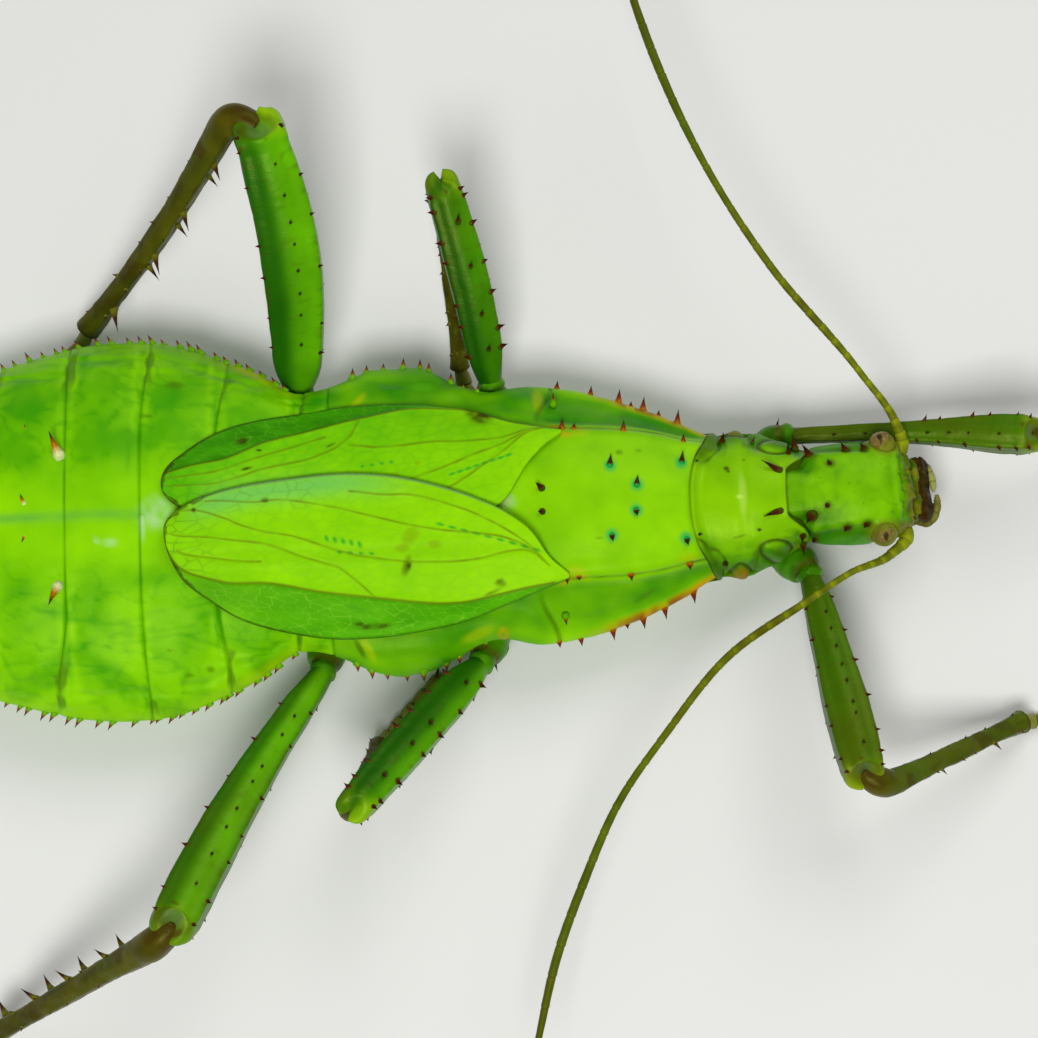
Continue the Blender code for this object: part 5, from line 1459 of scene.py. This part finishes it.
def foot_grid(path, share):
    """Five joints, each a swelling 0.70 + 0.34 * sin(pi * (0.62 * wave + 0.08)) with a tight neck."""
    wave = (share * FOOT_JOINTS) % 1
    radius = 0.70 + 0.34 * np.sin(math.pi * (wave * 0.62 + 0.08))
    radius -= 0.22 * ease(wave, 0.93, 1.0) + 0.14 * (1 - ease(wave, 0, 0.08))
    points = tube_points(path, 0.98 * radius * (1 - 0.12 * share), FOOT_COLS,
                         1 - 0.12 * np.abs(np.sin(turns(FOOT_COLS))))
    points[..., 2] = np.maximum(points[..., 2], 0)
    marks = {"tone": 0.75 - 0.3 * share, "joint": 0.8 * bell(np.minimum(wave, 1 - wave), 0.06),
             "amber": 0.5 * bell(wave - 0.5, 0.3)}
    return points, {title: values[:, None] for title, values in marks.items()}


def foot_grids(leg):
    """The foot's joints, its pad and its two claws.  Places of pad and claws are given ahead, aside
    and up from the toe."""
    path, share = foot_path(leg, FOOT_ROWS)
    ahead, up = unit(np.r_[path[-1][:2] - path[-20][:2], 0]), np.array([0, 0, 1.0])
    axes = np.array([ahead, np.cross(up, ahead), up])
    claws = []
    for side in (1, -1):
        hook = ((-0.5, 0.25 * side, 0), (0.4, 0.55 * side, 0.25), (0.95, 0.85 * side, -0.05), (1.15, 0.85 * side, -0.5))
        claw, at = curve_through(path[-1] + hook @ axes, CLAW_ROWS)
        claws.append((tube_points(claw, 0.24 * (1 - at) ** 0.7 + 0.02, CLAW_COLS), {"along": at[:, None]}))
    pad, at = curve_through(path[-1] + ((-0.3, 0, -0.1), (0.35, 0, -0.15), (0.8, 0, -0.3)) @ axes, PAD_SIZE)
    thick = 0.42 * np.sqrt(1 - (2 * at * 0.98 - 0.98) ** 2) + 0.02
    return [foot_grid(path, share), (tube_points(pad, thick, PAD_SIZE), {"tone": 0.9})], claws


# %% Legs
# Its deep and dusk layers are painted shade on the thighs and hips.
LEG_CUTICLE = cuticle(  # green cuticle stretched over muscle, a little clearer than the body's
    "leg_cuticle", "#024e01", "#68bc02",
    (("deep", "#0a6401", 0.8), ("dusk", "#084c02", 0.8), ("olive", "#4c5c04", 0.85), ("yellow", "#a8c80c", 0.7),
     ("grey", "#5c6440", 0.8), ("brown", "#4a3a0a", 0.85)),
    0.36, 0.3, 0.12, 5.0, 0.35,
)
SHIN_CUTICLE = cuticle(  # thin-walled olive tube, tanned brown in patches
    "shin_cuticle", "#282002", "#625a0c", (("grass", "#4a6a0c", 0.8), ("brown", "#3a2004", 0.8),
                                           ("joint", "#1c1404", 0.8)),
    0.38, 0.25, 0.14, 3.0, 0.35,
)
FOOT_CUTICLE = cuticle(  # small tanned joints with paler soles
    "foot_cuticle", "#4a4c12", "#8a8c34", (("amber", "#94963a", 0.6), ("joint", "#1c1204", 0.85)), 0.4, 0.2, 0.12, 1.2,
    0.35,
)
HOOK_HORN = thorn_horn("hook_horn", "#6c6c14", "#44200a", "#100804", (0.12, 0.4, 0.7))
for name, leg in LEGS.items():
    solids = [f"{name}_coxa", f"{name}_femur"]
    skins(f"{name}_thigh", [hip_grid(leg), thigh_grid(name, leg)], LEG_CUTICLE, solids)
    skins(f"{name}_shin", [shin_grid(name, leg)], SHIN_CUTICLE, [f"{name}_tibia"])
    foot, claws = foot_grids(leg)
    skins(f"{name}_foot", foot, FOOT_CUTICLE, [f"{name}_tarsus"])
    skins(f"{name}_claws", claws, HOOK_HORN)

# %% [markdown]
# ## Thorns
#
# Hundreds of thorns guard the insect: tiny ones like saw teeth round the hind body, long hooked
# ones on the middle body and neck plate, rows on the legs.  All of them are the same shape with
# different sizes: a cone with a flared foot, bent a little on the way, and coloured by how far
# along it a point lies.  Each has only a few dozen faces.

# %% Thorn shape
THORN_RINGS = np.array([-0.22, 0.0, 0.12, 0.32, 0.58, 0.82, 1.0])  # where its rings are, from foot to tip
FINE = 14  # sides of the larger thorns


def thorn_grids(feet, tips, widths, bend=0.12, sides=7):
    """Cones from feet to tips: radius = width * ((1 - t)^1.1 + 0.25 * exp(-t / 0.1)), bent upwards
    by sin(pi * t) times `bend` of the length."""
    feet, tips, widths = np.atleast_2d(feet).astype(float), np.atleast_2d(tips).astype(float), np.atleast_1d(widths)
    along = tips - feet
    length = np.linalg.norm(along, axis=1)[:, None, None]
    one = np.cross(along / length[:, 0], (0.31, 0.17, 0.93))
    one /= np.linalg.norm(one, axis=1, keepdims=True)
    two = np.cross(along / length[:, 0], one)
    t = np.clip(THORN_RINGS, 0, 1)
    reach = np.maximum((1 - t) ** 1.1 + 0.25 * np.exp(-t / 0.1), 0.045)
    lift = bend * np.sin(math.pi * t)[:, None] * (0, 0, 1)
    centre = feet[:, None] + along[:, None] * THORN_RINGS[:, None] + lift * length
    turn = turns(sides)[0, :, None]
    ring = np.cos(turn) * one[:, None] + np.sin(turn) * two[:, None]
    points = centre[:, :, None] + (widths[:, None] * reach)[:, :, None, None] * ring[:, None]
    return [(thorn, {"along": t[:, None]}) for thorn in points]


def on_back(places, lift=0.0):
    """Points of the back at (x, y) places."""
    x, y = np.array(places, float).T
    return np.stack([x, y, back_z(x, y) + lift], -1)


def back_thorns(places, lift, lean, width, growth):
    """Feet, tips and half widths of thorns on the back at (x, y, length).  They lean along X, away
    from the middle and up by shares of their length, and the long ones are wider."""
    x, y, length = np.array(places, float).T
    feet = on_back(np.stack([x, y], -1), lift)
    reach = np.stack([lean[0] * length, lean[1] * np.sign(y) * length, lean[2] * length], -1)
    return feet, feet + reach, width + growth * length


def keel_thorns(places, side, length, lean, width):
    """Feet and tips of thorns on a side keel: outwards by the length, along X by lean times the length."""
    x, length = np.asarray(places, float), np.asarray(length, float)
    edge, z = smooth(HALF_WIDTH, x), smooth(KEEL_Z, x)
    feet = np.stack([x - 0.2 * lean * length, midline(x) + side * (edge - 0.1), z - 0.15], -1)
    tips = np.stack([x + lean * length, midline(x) + side * (edge + length), z + 0.12], -1)
    return feet, tips, width * (0.55 + 0.45 * length / length.max())


def uneven(start, stop, count, seed):
    """Places from start to stop, each shifted by up to a third of a step, and sizes from 0.55 to 1."""
    index = np.arange(count, dtype=float)
    step = (stop - start) / (count - 1)
    return start + step * (index + 0.6 * (hashed(index, 1.0, seed) - 0.5)), 0.55 + 0.45 * hashed(index, 2.0, seed)


print("one thorn has", 7 * (len(THORN_RINGS) - 1) + 2 * 7, "faces")

# %% [markdown]
# Places along a side keel are spread evenly and then shifted a little by the random lattice, and
# sizes vary in the same way, because a real row of thorns is never regular.

# %% Body thorns
SAW_TEETH = (  # first and last place on each plate, and how many
    (12.4, 4.4, 6), (3.4, -4.2, 6), (-5.6, -13.6, 5), (-15.2, -23.2, 6), (-24.8, -32.2, 5), (-33.8, -41.2, 5),
    (-42.6, -48.4, 4),
)
ORANGE_THORNS = {  # places and lengths on each side of the middle thorax
    1: ((46.4, 50.6, 54.1, 55.6, 57.1, 59.0, 61.3), (1.1, 1.3, 1.75, 0.6, 1.75, 0.8, 1.85)),
    -1: ((45.5, 48.2, 52.2, 54.0, 56.0, 58.7, 62.3), (0.7, 1.0, 1.35, 0.6, 1.45, 1.55, 1.6)),
}
SADDLE_THORNS = (  # x, y and length, as in the next two lists
    (46.7, 9.85, 1.5), (48.2, 9.8, 0.8), (54.3, 9.4, 1.6), (61.7, 7.8, 1.3),
    (46.6, -8.9, 1.3), (48.1, -8.9, 0.6), (54.5, -8.75, 1.2), (61.8, -7.6, 1.0),
)
BACK_THORNS = ((52.4, 4.9, 1.35), (52.3, -4.1, 1.0), (55.6, 2.3, 1.15), (55.4, -1.1, 0.9), (61.3, 5.1, 1.5),
               (61.5, -4.7, 1.1))
TAIL_THORNS = (
    (-15.2, 8.4, 3.2), (-15.5, -8.2, 2.8), (-19.4, 2.3, 1.3), (-19.3, -1.7, 1.1), (-19.3, 11.8, 0.7), (-25.6, 6.9, 2.0),
    (-25.6, -6.9, 2.0), (-29.6, 1.7, 1.1), (-29.6, -1.7, 1.1), (-34.6, 5.4, 1.5), (-34.6, -5.4, 1.5), (-38.6, 1.3, 0.9),
    (-38.6, -1.3, 0.9),
)
GREEN_THORN = thorn_horn("thorn_on_green", "#68b402", "#8a4a08", "#180c04", (0.25, 0.5, 0.8))
RUST_THORN = thorn_horn("thorn_on_orange", "#b4700a", "#7a2006", "#1c0a04", (0.08, 0.4, 0.8))
PALE_THORN = thorn_horn("thorn_on_pale_foot", "#d8e498", "#c87c08", "#1c1206", (0.06, 0.34, 0.8))
BLUE_THORN = thorn_horn("thorn_on_turquoise", "#08ac50", "#4c1c08", "#1c0c06", (0.02, 0.2, 0.6))
DARK_THORN = thorn_horn("dark_thorn", "#3a5206", "#541c04", "#160804", (0.02, 0.22, 0.7))

teeth, rear, orange = [], [], []
for side, _ in SIDES:
    for start, stop, count in SAW_TEETH:
        places, sizes = uneven(start, stop, count, 302 - side + start)
        teeth += thorn_grids(*keel_thorns(places, side, 1.15 * sizes, -0.5, 0.44), 0.05)
    places, sizes = uneven(20.2, 33.0, 7, 312 - side)
    rear += thorn_grids(*keel_thorns(places, side, 1.5 * sizes, 0.05, 0.56), 0.05)
    rear += thorn_grids(*keel_thorns((34.6, 36.4), side, (0.5, 0.7), 0.1, 0.3))
    places, lengths = ORANGE_THORNS[side]
    orange += thorn_grids(*keel_thorns(places, side, lengths, 0.12, 0.54))
skins("hind_body_saw_teeth", teeth, GREEN_THORN)
skins("rear_thorax_thorns", rear, GREEN_THORN)
skins("middle_thorax_thorns", orange, RUST_THORN)
saddle = thorn_grids(*back_thorns(SADDLE_THORNS, -0.05, (0.05, 0.75, 0.62), 0.26, 0.1))
skins("saddle_edge_thorns", saddle, RUST_THORN)
blue = thorn_grids(*back_thorns(BACK_THORNS, -0.1, (0.1, 0.8, 0.7), 0.30, 0.06), sides=FINE)
skins("back_thorns", blue, BLUE_THORN)
feet = on_back([(43.85, 2.2), (43.85, -0.8), (45.8, 13.5), (46.3, -13.4)], -0.1)
tips = feet + np.array([(-0.7, 0.5, 1.1), (-0.5, -0.1, 0.9), (0.0, 1.1, 1.2), (0.1, -1.2, 1.0)])
skins("saddle_hind_thorns", thorn_grids(feet[:2], tips[:2], (0.42, 0.38), sides=FINE), DARK_THORN)
skins("shoulder_thorns", thorn_grids(feet[2:], tips[2:], (0.38, 0.38), sides=FINE), GREEN_THORN)
pale = thorn_grids(*back_thorns(TAIL_THORNS, -0.1, (-0.30, 0.82, 0.45), 0.18, 0.14), sides=FINE)
skins("tail_back_thorns", pale, PALE_THORN)
print("body thorns:", sum(map(len, (teeth, rear, orange, saddle, blue, feet, pale))))

# %% [markdown]
# The neck plate's two hooks point back over the plate itself, and the head has rows of smaller
# thorns along the edge of its crown.

# %% Neck plate and head thorns
grids = thorn_grids([(73.2, 3.35, 16.3), (73.0, -1.6, 16.4)], [(70.9, 4.6, 17.7), (70.8, -2.5, 17.6)], (0.5, 0.5), 0.1,
                    16)
feet = [(74.6, 5.7, 14.5), (75.6, 6.9, 12.9), (75.9, -4.4, 14.0), (76.1, -5.4, 12.6)]
tips = [(74.4, 6.9, 16.2), (75.2, 8.5, 14.2), (75.6, -5.6, 15.4), (76.0, -6.9, 13.4)]
grids += thorn_grids(feet, tips, (0.34, 0.4, 0.38, 0.36), sides=FINE)
skins("collar_hooks", grids, DARK_THORN)
feet = on_back([(66.6, 7.9), (66.3, -7.4), (62.9, -4.1), (63.0, 4.9), (70.3, 7.6), (70.35, -3.9)], 0.15)
tips = feet + np.array([(0.1, 0.9, 1.6), (0.1, -0.6, 1.4), (0.5, -0.2, 0.9), (0.3, 0.3, 0.6), (0.3, 0.6, 0.5),
                        (0.2, 0.0, 0.35)])
grids = thorn_grids(feet, tips, (0.40, 0.36, 0.30, 0.22, 0.2, 0.2), sides=FINE)
skins("neck_plate_thorns", grids, DARK_THORN)

forward, out, length, width = np.array(HEAD_THORNS).T
half, low, high = (smooth([(section[0], section[k]) for section in HEAD_SECTIONS], forward) for k in (1, 2, 3))
across = np.clip(np.abs(out) / half, 0, 0.999) ** (1 / 0.85)
z = (low + high) / 2 + (high - low) / 2 * np.sqrt(1 - across**2) ** 0.85
tips = head_place(forward - 0.45 * length, out + np.sign(out) * 0.55 * length, z + 0.7 * length)
grids = thorn_grids(head_place(forward, out, z - 0.12), tips, width, sides=FINE)
skins("head_thorns", grids, DARK_THORN)
print("the head has", len(HEAD_THORNS), "thorns")

# %% [markdown]
# On the legs the thorns stand on the keels: small dark ones on the thighs, and on the inner side
# of each hind shin five long hooks with which the insect grips what attacks it.

# %% Leg thorns
def keel_row(limb, keel, places, length, lean, width):
    """Feet and tips of a row along a limb: out along the keel's own direction, leaning ahead."""
    path, share, radii = limb
    at, ahead, aside, upright = (np.stack([np.interp(places, share, values) for values in part.T], -1)
                                 for part in (path, *frames(path)))
    out = math.cos(math.radians(keel)) * aside + math.sin(math.radians(keel)) * upright
    thick, length = np.interp(places, share, radii)[:, None], np.asarray(length)[:, None]
    tips = at + out * (thick + length) + ahead * lean * length
    return at + out * (thick - 0.1), tips, width * (0.6 + 0.4 * (length / length.max())[:, 0])


def thigh_thorns(number, leg):
    """Rows on the four keels, a row of small ones on top, and one on the hip."""
    path, share = thigh_path(leg, THIGH_ROWS)
    radii, under = smooth(THIGH_RADII[leg["thigh"]], share) * 1.1, leg.get("under", False)
    left = np.sign(leg["hip"][1])
    big, grids = 1.0 if under else 0.75, []
    for keel in KEELS:
        upper = keel < 180
        places, sizes = uneven(0.45 if leg["thigh"] == "fore_slim" else 0.16, 0.93, 6 if upper else 4,
                               400 + number * 7 + keel)
        places, lengths = np.append(places, 0.975), (1.15 if upper else 0.7) * big * np.append(sizes, 0.8)
        grids += thorn_grids(*keel_row((path, share, radii), keel, places, lengths, 0.35, 0.4 * big), 0.05)
    places, sizes = uneven(0.2, 0.85, 4 if under else 8, 500 + number)
    lengths, width = (1.0 * sizes, 0.3) if under else (0.4 * sizes, 0.17)
    grids += thorn_grids(*keel_row((path, share, radii * 0.93), 90 + 12 * left, places, lengths, 1.1, width), 0.0)
    hip, outside = 0.35 * np.array(leg["root"]) + 0.65 * np.array(leg["hip"]), unit((0.25, left, 0.15))
    return grids + thorn_grids(hip + 1.9 * outside, hip + 3.9 * outside, 0.42, 0.05, FINE)


def shin_hooks(number, name, leg):
    """Long hooks on the inner side of a hind shin, two small ones on the others, and fine rows."""
    path, share = shin_path(leg, SHIN_ROWS)
    limb = path, share, leg["shin"] * smooth(((0, 0.72), (0.10, 1.02), (0.28, 0.88), (0.6, 0.79), (1, 0.85)), share)
    inner, grids = 180 if leg["hip"][1] < 0 else 0, []
    places, rows = np.array([0.45, 0.80]), ((inner, 0.8),)
    if "hind" in name:
        places, rows = np.array([0.24, 0.44, 0.62, 0.87]), ((inner + 18, 2.3), (inner - 22, 1.8))
    for keel, long in rows:
        lengths = long * np.linspace(0.85, 1.1, len(places))
        grids += thorn_grids(*keel_row(limb, keel, places, lengths, 0.45, 0.2 * long + 0.05), 0.14)
        places = places[:-1] + 0.06
    for keel in KEELS[:2]:
        places, sizes = uneven(0.25, 0.93, 6, 600 + number * 5 + keel)
        grids += thorn_grids(*keel_row(limb, keel, places, 0.6 * sizes, 0.3, 0.24), 0.0)
    return grids


grids, hooks = [], []
for number, (name, leg) in enumerate(LEGS.items()):
    grids += thigh_thorns(number, leg)
    hooks += shin_hooks(number, name, leg)
skins("thigh_thorns", grids, DARK_THORN)
skins("shin_hooks", hooks, HOOK_HORN)
print("leg thorns:", len(grids), "on thighs and", len(hooks), "on shins")

# %% [markdown]
# ## The tail
#
# The female's tail ends in a beak: a scoop below and a tapering plate above, between which she
# drives her eggs into soil.  Two short feelers stand at its sides.  Both plates are lofts of
# rounded sections with a keel and fine growth lines.

# %% Tail
SCOOP_SECTIONS = ((-67.9, 0.7, 8.2, 8.9), (-61, 3.8, 6.2, 7.9), (-55, 5.8, 5.0, 7.2), (-49.2, 6.8, 4.2, 6.5))
TAIL_SECTIONS = ((-67.6, 0.6, 9.3, 10.4), (-63, 2.3, 8.7, 11.8), (-58.4, 3.3, 8.5, 12.5))


def beak_skin(sections, rows, cols, seed):
    """Rounded-square sections along X, ridged lengthways."""
    x = np.linspace(sections[-1][0], sections[0][0], rows)[:, None]
    y, z = rounded_rings(sections, x, cols)
    height = 0.10 * folds(x, y, 3.0, 0.8, seed) + 0.12 * bell(y, 0.4) * (np.sin(turns(cols)) > 0)
    tone = 0.7 + 0.25 * folds(x, y, 3.0, 1.0, seed + 1)
    return push(ring_of(x, y, z), height), {"tone": tone, "belly": 0.3, "amber": 0.6 * ease(-x, 62, 68)}


skins("egg_scoop", [beak_skin(SCOOP_SECTIONS, 130, 90, 701)], LEAF_CUTICLE, ["subgenital_plate"])
skins("tail_plate", [beak_skin(TAIL_SECTIONS, 90, 80, 711)], LEAF_CUTICLE, ["epiproct"])
grids = thorn_grids([(-58, 3.6, 10.9), (-58, -3.6, 10.9)], [(-61, 4.4, 10.9), (-61, -4.4, 10.9)], (0.55, 0.55), 0.0)
skins("tail_feelers", grids, GREEN_THORN)
print("the egg scoop is", round(SCOOP_SECTIONS[-1][0] - SCOOP_SECTIONS[0][0], 1), "mm long")
